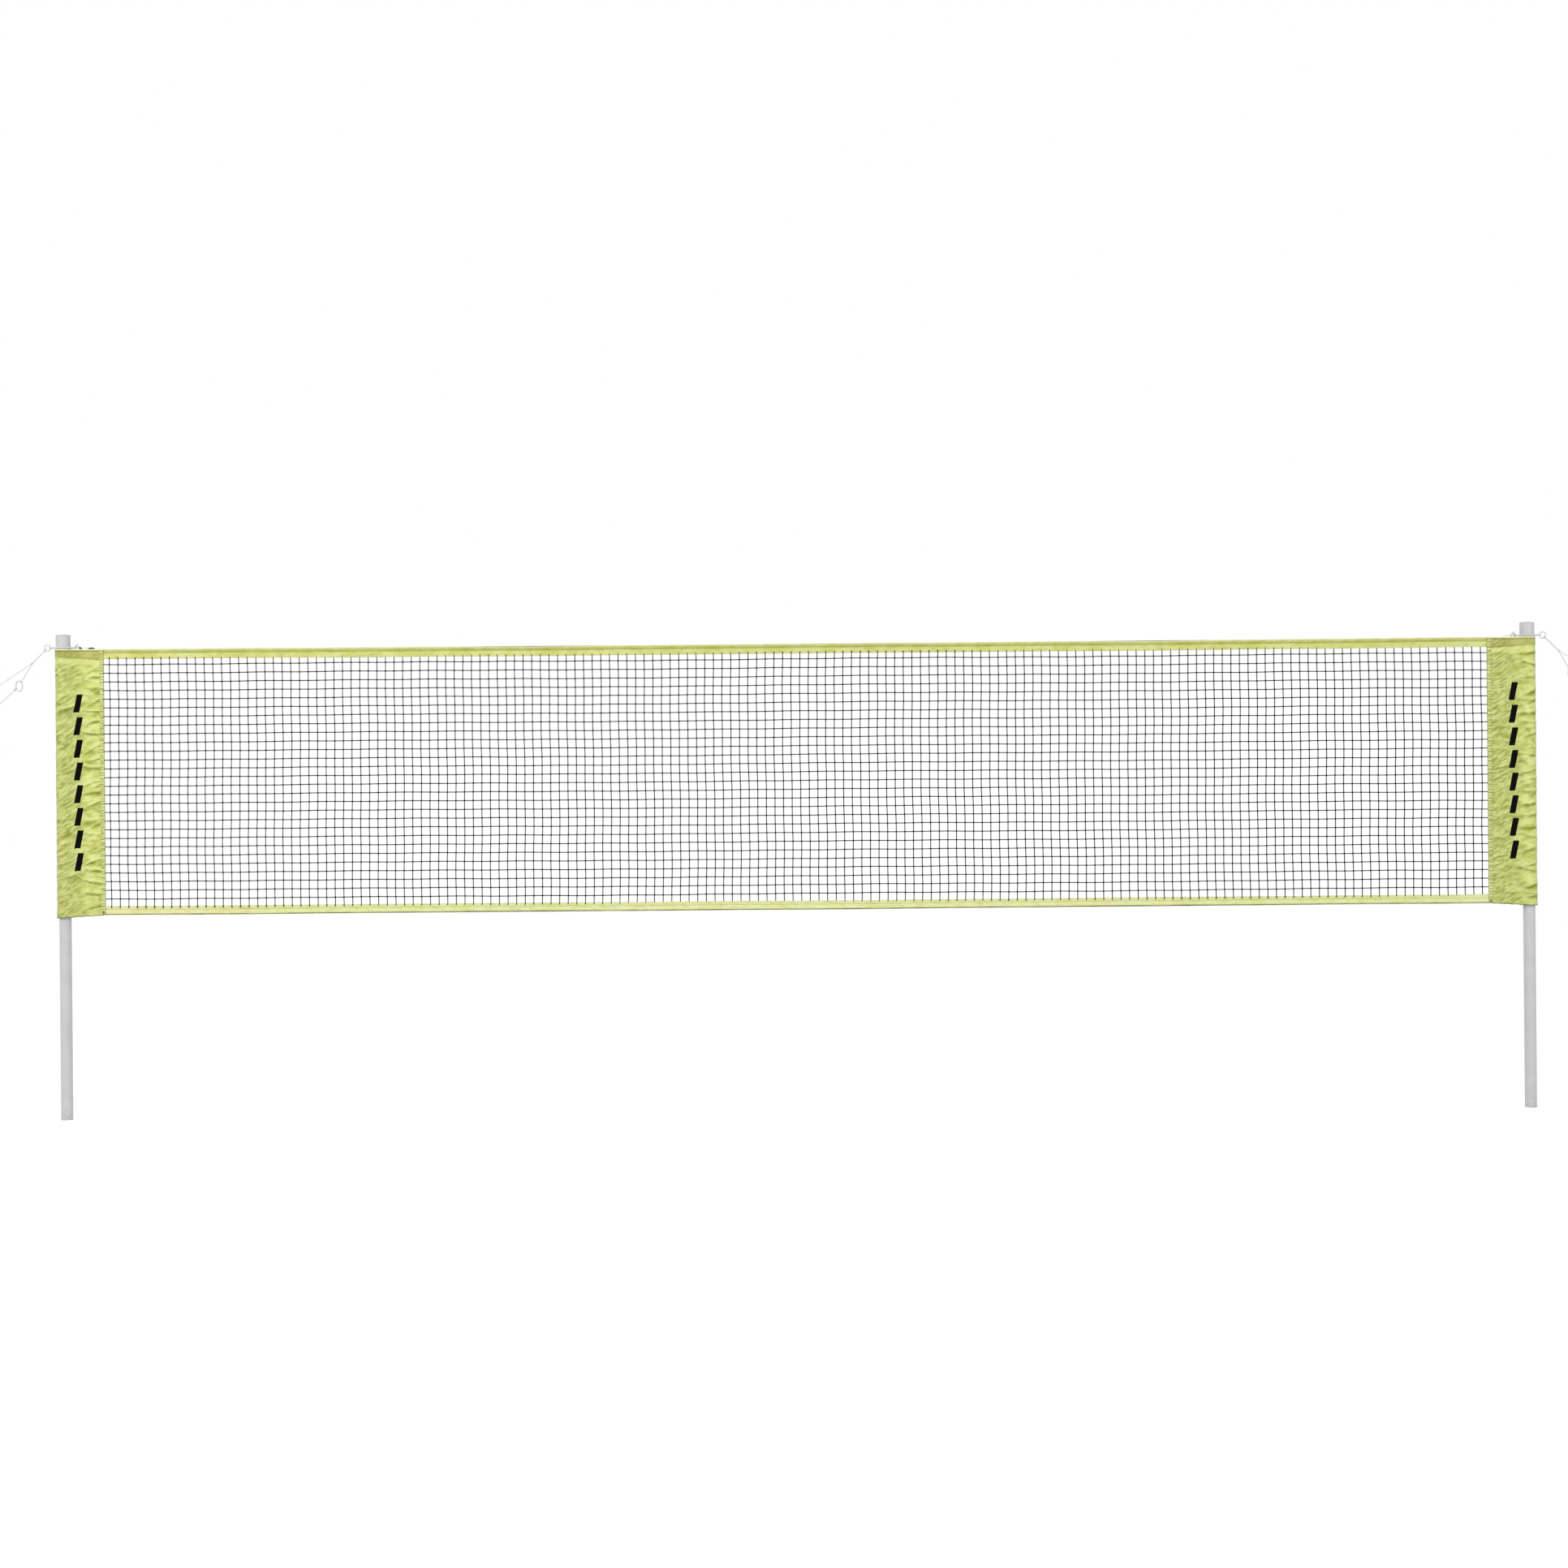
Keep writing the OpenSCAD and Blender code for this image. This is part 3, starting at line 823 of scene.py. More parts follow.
def push_ring(
    bm: bmesh.types.BMesh, ring: list[bmesh.types.BMVert], edges: list[bmesh.types.BMEdge]
) -> tuple[list[bmesh.types.BMVert], list[bmesh.types.BMEdge]]:
    """Extrudes a ring of edges and keeps its order.

    Args:
        bm: The bmesh.
        ring: The ring's vertices in order.
        edges: Its edges.

    Returns:
        The new ring's vertices in the same order, and its edges.
    """
    made = bmesh.ops.extrude_edge_only(bm, edges=edges)["geom"]
    fresh = {v for v in made if isinstance(v, bmesh.types.BMVert)}
    follows = [next(e.other_vert(v) for e in v.link_edges if e.other_vert(v) in fresh) for v in ring]
    return follows, [e for e in made if isinstance(e, bmesh.types.BMEdge) and set(e.verts) <= fresh]


def swept(name: str, path: Sequence[Vector], radius: float, sides: int = 10, closed: bool = False) -> Piece:
    """Makes a tube along a line, with a UV map in metres along and turns round.

    Args:
        name: The object's name.
        path: The points of its centre line.
        radius: Its radius.
        sides: Number of sides.
        closed: Whether the line runs back into its start.

    Returns:
        The tube's object.
    """
    count = len(path)
    bm = bmesh.new()
    ring = bmesh.ops.create_circle(bm, segments=sides, radius=1.0, cap_ends=not closed)["verts"]
    edges = [e for e in bm.edges]
    rings = []
    across = None
    for i, point in enumerate(path):
        before = path[i - 1] if closed else path[max(i - 1, 0)]
        after = path[(i + 1) % count] if closed else path[min(i + 1, count - 1)]
        heading = (after - before).normalized()
        if across is None:
            across = heading.orthogonal()
        across = (across - heading * across.dot(heading)).normalized()
        up = heading.cross(across)
        if i:
            ring, edges = push_ring(bm, ring, edges)
        for k, vert in enumerate(ring):
            angle = math.tau * k / sides
            vert.co = point + (across * math.cos(angle) + up * math.sin(angle)) * radius
        rings.append(ring)
    if closed:
        bmesh.ops.bridge_loops(bm, edges=edges + [e for e in bm.edges if set(e.verts) <= set(rings[0])])
    else:
        bmesh.ops.contextual_create(bm, geom=edges)
    bmesh.ops.recalc_face_normals(bm, faces=bm.faces)
    label_tube(bm, path, rings, closed)
    return piece_from(bm, name)


def label_tube(
    bm: bmesh.types.BMesh, path: Sequence[Vector], rings: list[list[bmesh.types.BMVert]], closed: bool
) -> None:
    """Gives a tube its UV map: metres along it, and turns round it.

    Args:
        bm: The tube.
        path: The points of its centre line.
        rings: Its rings of vertices.
        closed: Whether it runs back into its start.
    """
    along = [0.0]
    for a, b in zip(path, path[1:]):
        along.append(along[-1] + (b - a).length)
    whole = along[-1] + (path[0] - path[-1]).length
    sides = len(rings[0])
    spot = {v: (i, k) for i, ring in enumerate(rings) for k, v in enumerate(ring)}
    layer = bm.loops.layers.uv.new("UVMap")
    for face in bm.faces:
        places = [spot[loop.vert] for loop in face.loops]
        last_row = closed and {p[0] for p in places} == {0, len(rings) - 1}
        last_side = {p[1] for p in places} == {0, sides - 1}
        for loop, (i, k) in zip(face.loops, places):
            u = whole if last_row and i == 0 else along[i]
            loop[layer].uv = (u, (sides if last_side and k == 0 else k) / sides)


def moved(piece: Piece, rule: Callable[[np.ndarray], np.ndarray]) -> None:
    """Moves the vertices of a piece by a formula.

    Args:
        piece: The object.
        rule: Gives the new points for an array of points.
    """
    mesh = piece.data
    flat = np.empty(len(mesh.vertices) * 3)
    mesh.vertices.foreach_get("co", flat)
    mesh.vertices.foreach_set("co", rule(flat.reshape(-1, 3)).ravel())
    mesh.update()


def mapped_grid(
    name: str, columns: int, rows: int, place: Formula, label: Formula, marks: Marks | None = None
) -> Piece:
    """Makes a sheet from a flat grid that a formula puts in place.

    Args:
        name: The object's name.
        columns: Number of steps along the first share.
        rows: Number of steps along the second share.
        place: Gives the points for two arrays of shares from 0 to 1.
        label: Gives the UVs in metres for the same shares.
        marks: Numbers for each vertex, which the place formula fills in and the finish reads.

    Returns:
        The sheet's object.
    """
    bm = bmesh.new()
    bmesh.ops.create_grid(bm, x_segments=columns, y_segments=rows, size=0.5)
    made = piece_from(bm, name)
    mesh = made.data
    flat = np.empty(len(mesh.vertices) * 3)
    mesh.vertices.foreach_get("co", flat)
    shares = flat.reshape(-1, 3)[:, :2] + 0.5
    moved(made, lambda points: place(shares[:, 0], shares[:, 1]))
    corners = np.empty(len(mesh.loops), dtype=np.int32)
    mesh.loops.foreach_get("vertex_index", corners)
    uv = mesh.uv_layers.get("UVMap") or mesh.uv_layers.new(name="UVMap")
    uv.data.foreach_set("uv", label(shares[:, 0], shares[:, 1])[corners].ravel())
    for mark, values in (marks or {}).items():
        mesh.attributes.new(mark, "FLOAT", "POINT").data.foreach_set("value", values.astype(np.float32))
    return made


def thicken(piece: Piece, thickness: float) -> None:
    """Gives a sheet its thickness, half to each side."""
    solid = piece.modifiers.new("thickness", "SOLIDIFY")
    solid.thickness, solid.offset = thickness, 0.0


def repeated(piece: Piece, counts: Sequence[tuple[int, Vector]]) -> None:
    """Repeats a piece at fixed steps and keeps the result as its mesh.

    Args:
        piece: The object.
        counts: How many there are, and the step, for each direction.
    """
    for count, step in counts:
        array = piece.modifiers.new("row", "ARRAY")
        array.count = count
        array.use_relative_offset = False
        array.use_constant_offset = True
        array.constant_offset_displace = step
    graph = bpy.context.evaluated_depsgraph_get()
    graph.update()
    made = bpy.data.meshes.new_from_object(piece.evaluated_get(graph))
    old = piece.data
    piece.modifiers.clear()
    piece.data = made
    bpy.data.meshes.remove(old)
    made.name = piece.name


def joined(name: str, parts: Sequence[Piece]) -> Piece:
    """Makes one piece of several.

    Args:
        name: The new object's name.
        parts: The objects, which go.

    Returns:
        The joined object.
    """
    bm = bmesh.new()
    for part in parts:
        mesh = part.data
        bm.from_mesh(mesh)
        bpy.data.objects.remove(part)
        bpy.data.meshes.remove(mesh)
    return piece_from(bm, name)


def fasten(piece: Piece, body: str, finish: Finish, replaces: Sequence[str] = ()) -> None:
    """Dresses a piece and ties it to a body.

    Args:
        piece: The object.
        body: The body it moves with.
        finish: Its finish.
        replaces: The nodes it stands for.
    """
    piece.data.materials.clear()
    piece.data.materials.append(finish.material())
    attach(piece, body)
    if replaces:
        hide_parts(*replaces)
    LOG.info("%s: %d faces, on %s", piece.name, len(piece.data.polygons), body)


# Studio


@dataclass(frozen=True)
class Studio:
    """White room: camera, soft lamps and a pale floor that keeps the shadow."""

    distance: float = 8.0
    frame_width: float = 5.008
    centre_x: float = -0.0392
    centre_z: float = 1.0521
    roll_deg: float = -0.50
    sensor: float = 36.0
    lit_z: float = 1.1
    room_light: float = 0.58
    floor_half: float = 40.0
    floor_paint: float = 0.8
    # What the floor shows the camera: a share of its light, and a glow that makes up the rest of white.
    floor_shown: float = 0.24
    floor_glow: float = 0.86

    def camera(self) -> None:
        """Makes the camera, straight in front of the net and turned slightly."""
        data = bpy.data.cameras.new("camera")
        data.sensor_width = self.sensor
        data.lens = self.sensor * self.distance / self.frame_width
        made = bpy.data.objects.new("camera", data)
        level = Matrix.Rotation(math.radians(90), 4, "X")
        roll = Matrix.Rotation(math.radians(self.roll_deg), 4, "Z")
        made.matrix_world = Matrix.Translation((self.centre_x, -self.distance, self.centre_z)) @ level @ roll
        bpy.context.collection.objects.link(made)
        bpy.context.scene.camera = made

    def lamps(self) -> None:
        """Key lamp high on the left, a weaker one on the right and one behind."""
        middle = UP * self.lit_z
        for name, place, size, power in (
            ("key_lamp", (-4.5, -6.5, 6.0), 2.5, 312.0),
            ("side_lamp", (6.0, -5.5, 3.0), 4.0, 104.0),
            ("back_lamp", (1.0, 6.5, 5.5), 4.0, 142.0),
        ):
            data = bpy.data.lights.new(name, "AREA")
            data.size = size
            data.energy = power
            made = bpy.data.objects.new(name, data)
            made.location = place
            made.rotation_euler = (middle - Vector(place)).to_track_quat("-Z", "Y").to_euler()
            bpy.context.collection.objects.link(made)

    def seen_directly(self, tree: Tree) -> Socket:
        """Tells rays that look at the background from those that carry its light.

        Args:
            tree: The node tree of the room or the floor.

        Returns:
            A mask that is 1 for the first kind.
        """
        seen = put(tree, "LightPath", out="Is Camera Ray")
        for ray in ("Is Glossy Ray", "Is Transmission Ray"):
            seen = put(tree, "Math", {0: seen, 1: put(tree, "LightPath", out=ray)}, operation="MAXIMUM")
        return seen

    def room(self) -> None:
        """White walls all round, which light the net less brightly than they look."""
        world = bpy.data.worlds.new("white_room")
        world.use_nodes = True
        tree = world.node_tree
        tree.nodes.clear()
        light = put(tree, "Background", {"Color": WHITE, "Strength": self.room_light})
        wall = put(tree, "Background", {"Color": WHITE, "Strength": 1.0})
        shown = put(tree, "MixShader", {0: self.seen_directly(tree), 1: light, 2: wall})
        put(tree, "OutputWorld", {"Surface": shown})
        bpy.context.scene.world = world

    def floor(self) -> None:
        """Pale floor, near white in plain light and a little grey under the net."""
        bm = bmesh.new()
        bmesh.ops.create_grid(bm, x_segments=1, y_segments=1, size=self.floor_half)
        made = piece_from(bm, "studio_floor", smooth=False)
        paint = bpy.data.materials.new("matt_floor_paint")
        paint.use_nodes = True
        tree = paint.node_tree
        tree.nodes.clear()
        matt, dim = (
            put(tree, "BsdfDiffuse", {"Color": (grey, grey, grey, 1.0)})
            for grey in (self.floor_paint, self.floor_shown)
        )
        glow = put(tree, "Emission", {"Color": WHITE, "Strength": self.floor_glow})
        seen = put(tree, "AddShader", {0: dim, 1: glow})
        shown = put(tree, "MixShader", {0: self.seen_directly(tree), 1: matt, 2: seen})
        put(tree, "OutputMaterial", {"Surface": shown})
        made.data.materials.append(paint)

    def build(self) -> None:
        """Makes the lamps, the room and the floor."""
        self.lamps()
        self.room()
        self.floor()
        bpy.context.scene.view_settings.view_transform = "Standard"


# Cords and ropes


@dataclass(frozen=True)
class GuyRopes:
    """The two guy ropes of one pole, from the guy ring to the loops at their ends.

    Places are measured from the centre of the guy ring: outward from the pole, along Y and up.
    """

    side: Side
    layout: Layout
    cord_d: float = 0.003
    leave: tuple[float, float, float] = (0.00863, 0.002, -0.00863)
    split: tuple[float, float, float] = (0.050, 0.002, -0.049)
    front_end: tuple[float, float, float] = (0.145, -0.086, -0.133)
    back_bend: tuple[float, float, float] = (0.106, 0.048, -0.118)
    back_end: tuple[float, float, float] = (0.212, 0.122, -0.192)
    ring_at: float = 0.101
    ring_od: float = 0.039
    ring_wire: float = 0.0045
    guy_ring_r: float = 0.010
    loop_od: float = 0.025
    knot_d: float = 0.009
    gap: float = 0.0002
    hitch_core: float = 0.0022

    def at(self, place: Sequence[float]) -> Vector:
        """Turns a place measured from the guy ring into one in the frame."""
        x, y, z = place
        return Vector((self.side.value * (self.layout.ring_x + x), y, self.layout.tie_z + z))

    def headed(self, run: Vector) -> Vector:
        """Turns a direction measured from the guy ring into one in the frame."""
        return Vector((self.side.value * run.x, run.y, run.z)).normalized()

    def front(self, place: Sequence[float]) -> tuple[float, float, float]:
        """The same place on the front rope's side."""
        return (place[0], -place[1], place[2])

    def tied(self, made: Piece, nodes: Sequence[str] = ()) -> Piece:
        """Dresses a piece of white cord that swings with the guy ring.

        Args:
            made: The piece.
            nodes: The parts that it stands for, without their side.

        Returns:
            The piece.
        """
        fasten(made, self.side.named("guy"), WHITE_BRAID, [self.side.named(n) for n in nodes])
        return made

    def rope(self, name: str, corners: Sequence[Sequence[float]]) -> tuple[Piece, list[Vector]]:
        """Makes one stretch of braided cord.

        Args:
            name: The part it is on this side.
            corners: The corners of its route.

        Returns:
            The rope and its centre line.
        """
        path = rounded_route([self.at(c) for c in corners], 0.003, 6)
        made = swept(self.side.named(name + "_braid"), path, self.cord_d / 2, sides=12)
        return self.tied(made, [name]), path

    def wraps(self, name: str, centre: Vector, run: Vector, turns: float, spread: float = 1.0) -> Piece:
        """Makes a knot of close turns round a rope.

        Args:
            name: The part it is on this side.
            centre: Middle of the knot, from the guy ring.
            run: Direction of the rope in it, from the guy ring.
            turns: Number of turns.
            spread: How much wider the turns are along Y, where they hold two ropes.

        Returns:
            The knot.
        """
        thin = self.cord_d * 0.3
        path = helix_round(self.at(centre), self.headed(run), self.cord_d / 2 + thin, 2 * thin, turns)
        path = [Vector((spot.x, centre[1] + (spot.y - centre[1]) * spread, spot.z)) for spot in path]
        return self.tied(swept(self.side.named(name), path, thin, sides=8))

    def hitch(self, name: str, centre: Vector, ring_run: Vector) -> Piece:
        """Makes the two turns with which a rope is tied round a ring.

        Args:
            name: The part it is on this side.
            centre: The middle of the ring's wire there, from the guy ring.
            ring_run: The direction in which that wire runs, from the guy ring.

        Returns:
            The hitch.
        """
        thin, pitch = self.cord_d * 0.36, self.cord_d * 0.76
        path = helix_round(self.at(centre), self.headed(ring_run), self.hitch_core + thin, pitch, 2.0)
        return self.tied(swept(self.side.named(name), path, thin, sides=8))

    def end_loop(self, name: str, end: Vector, run: Vector) -> Piece:
        """Makes the knotted loop at the end of a rope.

        Args:
            name: The part it is on this side.
            end: The rope's end.
            run: The rope's direction there, from the guy ring.

        Returns:
            The loop with its knot.
        """
        knot_r, cord_r, steps = self.knot_d / 2, self.cord_d / 2, 48
        loop_r = self.loop_od / 2 - cord_r
        knot = end + run * (knot_r + self.gap / 2)
        middle = knot + run * (knot_r + loop_r - cord_r)
        level = Vector((run.x, run.y, 0.0)).normalized()
        start = math.atan2(-run.z, -run.dot(level))
        path = []
        for k in range(steps):
            angle = start + math.tau * k / steps
            path.append(self.at(middle + (level * math.cos(angle) + UP * math.sin(angle)) * loop_r))
        axis = self.at(knot + run) - self.at(knot)
        turns = helix_round(self.at(knot), axis, self.cord_d * 0.93, self.cord_d * 0.9, 2.6)
        core = [self.at(end - run * MM), self.at(knot), self.at(knot + run * knot_r)]
        parts = [
            swept(name + "_ring", path, cord_r, closed=True),
            swept(name + "_wraps", turns, cord_r, sides=8),
            swept(name + "_core", core, cord_r, sides=8),
        ]
        return self.tied(joined(self.side.named(name + "_tied"), parts), [name])

    def build(self) -> None:
        split, front_end, back_end = Vector(self.split), Vector(self.front_end), Vector(self.back_end)
        upper_run = (Vector(self.back_bend) - split).normalized()
        centre = split + upper_run * self.ring_at
        lower_run = (back_end - centre).normalized()
        front_run = (front_end - Vector(self.front(split))).normalized()
        half = self.ring_od / 2 + self.gap
        rim = (self.ring_od - self.ring_wire) / 2

        front = self.rope("front_rope", [self.front(self.leave), self.front(split), front_end])
        upper = self.rope("back_rope_upper", [self.leave, split, centre - upper_run * half])
        lower = self.rope("back_rope_lower", [centre + lower_run * half, back_end])

        front_loop = self.end_loop("front_loop", front_end, front_run)
        back_loop = self.end_loop("back_loop", back_end, lower_run)
        slope, across = (Vector((1.0, 0.0, way)).normalized() for way in (-1.0, 1.0))
        ring_hitch = self.hitch("guy_ring_hitch", slope * self.guy_ring_r, across)
        split_knot = self.wraps("split_knot", Vector((split.x, 0.0, split.z)), slope, 2.0, 1.85)
        below = self.wraps("lower_hitch", centre + lower_run * (half + 0.006), lower_run, 3.0)
        upper_eye, lower_eye = (
            self.hitch(name, centre + run * rim * way, UP - run * run.z)
            for name, run, way in (("upper_ring_hitch", upper_run, -1), ("lower_ring_hitch", lower_run, 1))
        )

        for (rope, path), far_end, pieces in (
            (front, "knot", [front_loop, ring_hitch, split_knot]),
            (upper, "fitting", [upper_eye, self.side.named("tension_ring")]),
            (lower, "knot", [back_loop, below, lower_eye]),
        ):
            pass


@dataclass(frozen=True)
class TieCord:
    """Cord tied round one pole, through the guy ring and the eye of the top rope."""

    side: Side
    layout: Layout
    cord_d: float = 0.003
    gap: float = 0.0003
    steps: int = 40
    knot_in: float = 0.002
    knot_up: float = 0.0035
    # Corners of the knot's bow and of its loose end, from the knot: outward, along Y and up.
    bow: tuple[tuple[float, float, float], ...] = (
        (0.0, -0.002, 0.001),
        (0.003, -0.003, 0.006),
        (-0.002, -0.004, 0.009),
        (-0.005, -0.003, 0.005),
        (-0.002, -0.002, 0.001),
    )
    tail: tuple[tuple[float, float, float], ...] = (
        (0.0, -0.002, 0.001),
        (-0.010, -0.003, -0.001),
        (-0.020, -0.002, -0.004),
        (-0.034, -0.002, -0.0055),
    )

    def build(self) -> None:
        """Makes the closed loop of cord and the knot with its two short ends."""
        low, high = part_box(self.side.named("tie_cord"))
        sign, z = self.side.value, self.layout.tie_z
        turn = self.layout.tube_r + self.gap + self.cord_d / 2
        near, far = low[0] + self.cord_d / 2 + turn, high[0] - self.cord_d / 2 - turn
        path = []
        for middle, start in ((far, -90), (near, 90)):
            for k in range(self.steps):
                angle = math.radians(start + 180 * k / (self.steps - 1))
                path.append(Vector((middle + turn * math.cos(angle), turn * math.sin(angle), z)))
        inner = low[0] if sign > 0 else high[0]
        knot = Vector((inner - sign * self.knot_in, -self.cord_d, z + self.knot_up))
        wraps = helix_round(knot, Vector((0.2, 1.0, 0.3)), self.cord_d * 0.8, self.cord_d * 0.8, 2.0)
        parts = [
            swept("tie_loop", evened(path + path[:1], 0.003), self.cord_d / 2, sides=12, closed=True),
            swept("tie_wraps", wraps, self.cord_d * 0.42, sides=8),
        ]
        for corners in (self.bow, self.tail):
            route = rounded_route([knot + Vector((sign * x, y, up)) for x, y, up in corners], 0.001, 10)
            parts.append(swept("tie_end", route, self.cord_d * 0.36, sides=8))
        made = joined(self.side.named("tie_cord_braid"), parts)
        fasten(made, self.side.named("upper"), WHITE_BRAID, [self.side.named("tie_cord")])


@dataclass(frozen=True)
class TopRope:
    """Black rope in the top tape, which shows at the sleeves and ends in two whipped eyes."""

    layout: Layout
    rope_d: float = 0.005
    depth: float = 0.0032
    slope: float = 0.009
    eye_reach: float = 0.044
    eye_r: float = 0.007
    eye_wire: float = 0.002
    # The winding under the eye: its thread, its distance from the rope's middle and its pitch.
    thread_r: float = 0.001
    wound_r: float = 0.0026
    wound_pitch: float = 0.0019
    step: float = 0.002
    end_steps: int = 60
    # Stretches by the left pole where the rope lies on top of the hem: from and to, from the pole's
    # centre, and how far it rises.
    shown: tuple[tuple[float, float, float], ...] = ((0.045, 0.054, 0.0072), (0.085, 0.095, 0.0058))

    def lift(self, reach: float) -> float:
        """Finds how far the rope rises by the left pole.

        Args:
            reach: Distance inward from that pole's centre.

        Returns:
            The rise.
        """
        rises = [0.0]
        for low, high, rise in self.shown:
            share = min(1.0, max(0.0, (reach - low) / self.slope + 1))
            share *= min(1.0, max(0.0, (high - reach) / self.slope + 1))
            rises.append(rise * share * share * (3 - 2 * share))
        return max(rises)

    def centre(self, x: float) -> Vector:
        """Place of the rope's centre line at a place along the net."""
        up = self.lift(self.layout.pole_x + x) - float(self.layout.sag(np.array(x)))
        return Vector((x, 0.0, self.layout.net_top - self.depth + up))

    def build(self) -> None:
        """Makes the rope, and the two eyes with their whippings."""
        reach = self.layout.pole_x - self.eye_reach - self.eye_r
        ends = [reach - self.step * k for k in range(self.end_steps)]
        inner = ends[-1]
        count = round(2 * inner / (10 * self.step))
        middle = [inner - 2 * inner * k / count for k in range(1, count)]
        spots = ends + middle + [-x for x in reversed(ends)]
        made = swept("top_rope_braid", [self.centre(x) for x in spots], self.rope_d / 2, sides=12)
        fasten(made, "left_upper", BLACK_BRAID, ["top_rope"])
        for side in Side:
            self.eye(side, turns=4.0 if side is Side.LEFT else 6.0)

    def eye(self, side: Side, turns: float) -> None:
        """Makes the eye at one end, wound with white cord.

        Args:
            side: The end of the net.
            turns: Number of turns of its winding.
        """
        sign = side.value
        centre = Vector((sign * (self.layout.pole_x - self.eye_reach), 0.0, self.layout.tie_z))
        angles = [math.tau * k / 32 for k in range(32)]
        ring = [centre + Vector((math.cos(a), 0.0, math.sin(a))) * self.eye_r for a in angles]
        neck = centre + Vector((-sign * 0.004, 0.0, -self.eye_r - self.thread_r))
        winding = helix_round(neck, Vector((sign, 0.0, 0.35)), self.wound_r, self.wound_pitch, turns)
        whipping = swept("whipping", winding, self.thread_r, sides=6)
        made = joined(side.named("rope_eye"), [swept("loop", ring, self.eye_wire, closed=True), whipping])
        fasten(made, "left_upper", WHITE_BRAID)


@dataclass(frozen=True)
class BottomRope:
    """Thin black rope folded into the bottom tape."""

    layout: Layout
    rope_d: float = 0.002
    depth: float = 0.0017
    steps: int = 220

    def build(self) -> None:
        """Makes the rope, which shows only at the ends of the tape."""
        half, z = self.layout.net_half, self.layout.net_bottom + self.depth
        path = [Vector((half - 2 * half * k / self.steps, 0.0, z)) for k in range(self.steps + 1)]
        made = swept("bottom_rope_braid", path, self.rope_d / 2, sides=8)
        moved(made, lambda points: points - np.outer(self.layout.sag(points[:, 0]), UP))
        fasten(made, "left_upper", BLACK_BRAID, ["bottom_rope"])


# Net


# Slow waves in the net: the axis along which they move it, how far, how many radians they turn in a
# metre along it and in a metre up it, and where they start.
WAVES = (
    (1, 0.0022, 2.1, 3.0, 0.0),
    (1, 0.0012, 5.3, -7.0, 1.0),
    (0, 0.0011, 1.7, 9.0, 0.0),
    (0, 0.0006, -5.0, 31.0, 0.0),
    (2, 0.0008, 4.1, 0.0, 0.6),
    (2, 0.0006, 23.0, 11.0, 0.0),
)


def sway(points: np.ndarray, layout: Layout) -> np.ndarray:
    """Lets the net hang a little unevenly: a sag, and slow waves along it and down it.

    Args:
        points: Points of the net.
        layout: Places of the frame.

    Returns:
        The points after the waves.
    """
    x, z = points[:, 0], points[:, 2]
    out = points - np.outer(layout.sag(x), UP)
    for axis, size, along, up, start in WAVES:
        out[:, axis] += size * np.sin(along * x + up * z + start)
    return out


def lengths(line: np.ndarray) -> np.ndarray:
    """Distance of each point of a flat line from its start, along the line."""
    return np.concatenate([[0.0], np.cumsum(np.hypot(*np.diff(line, axis=0).T))])


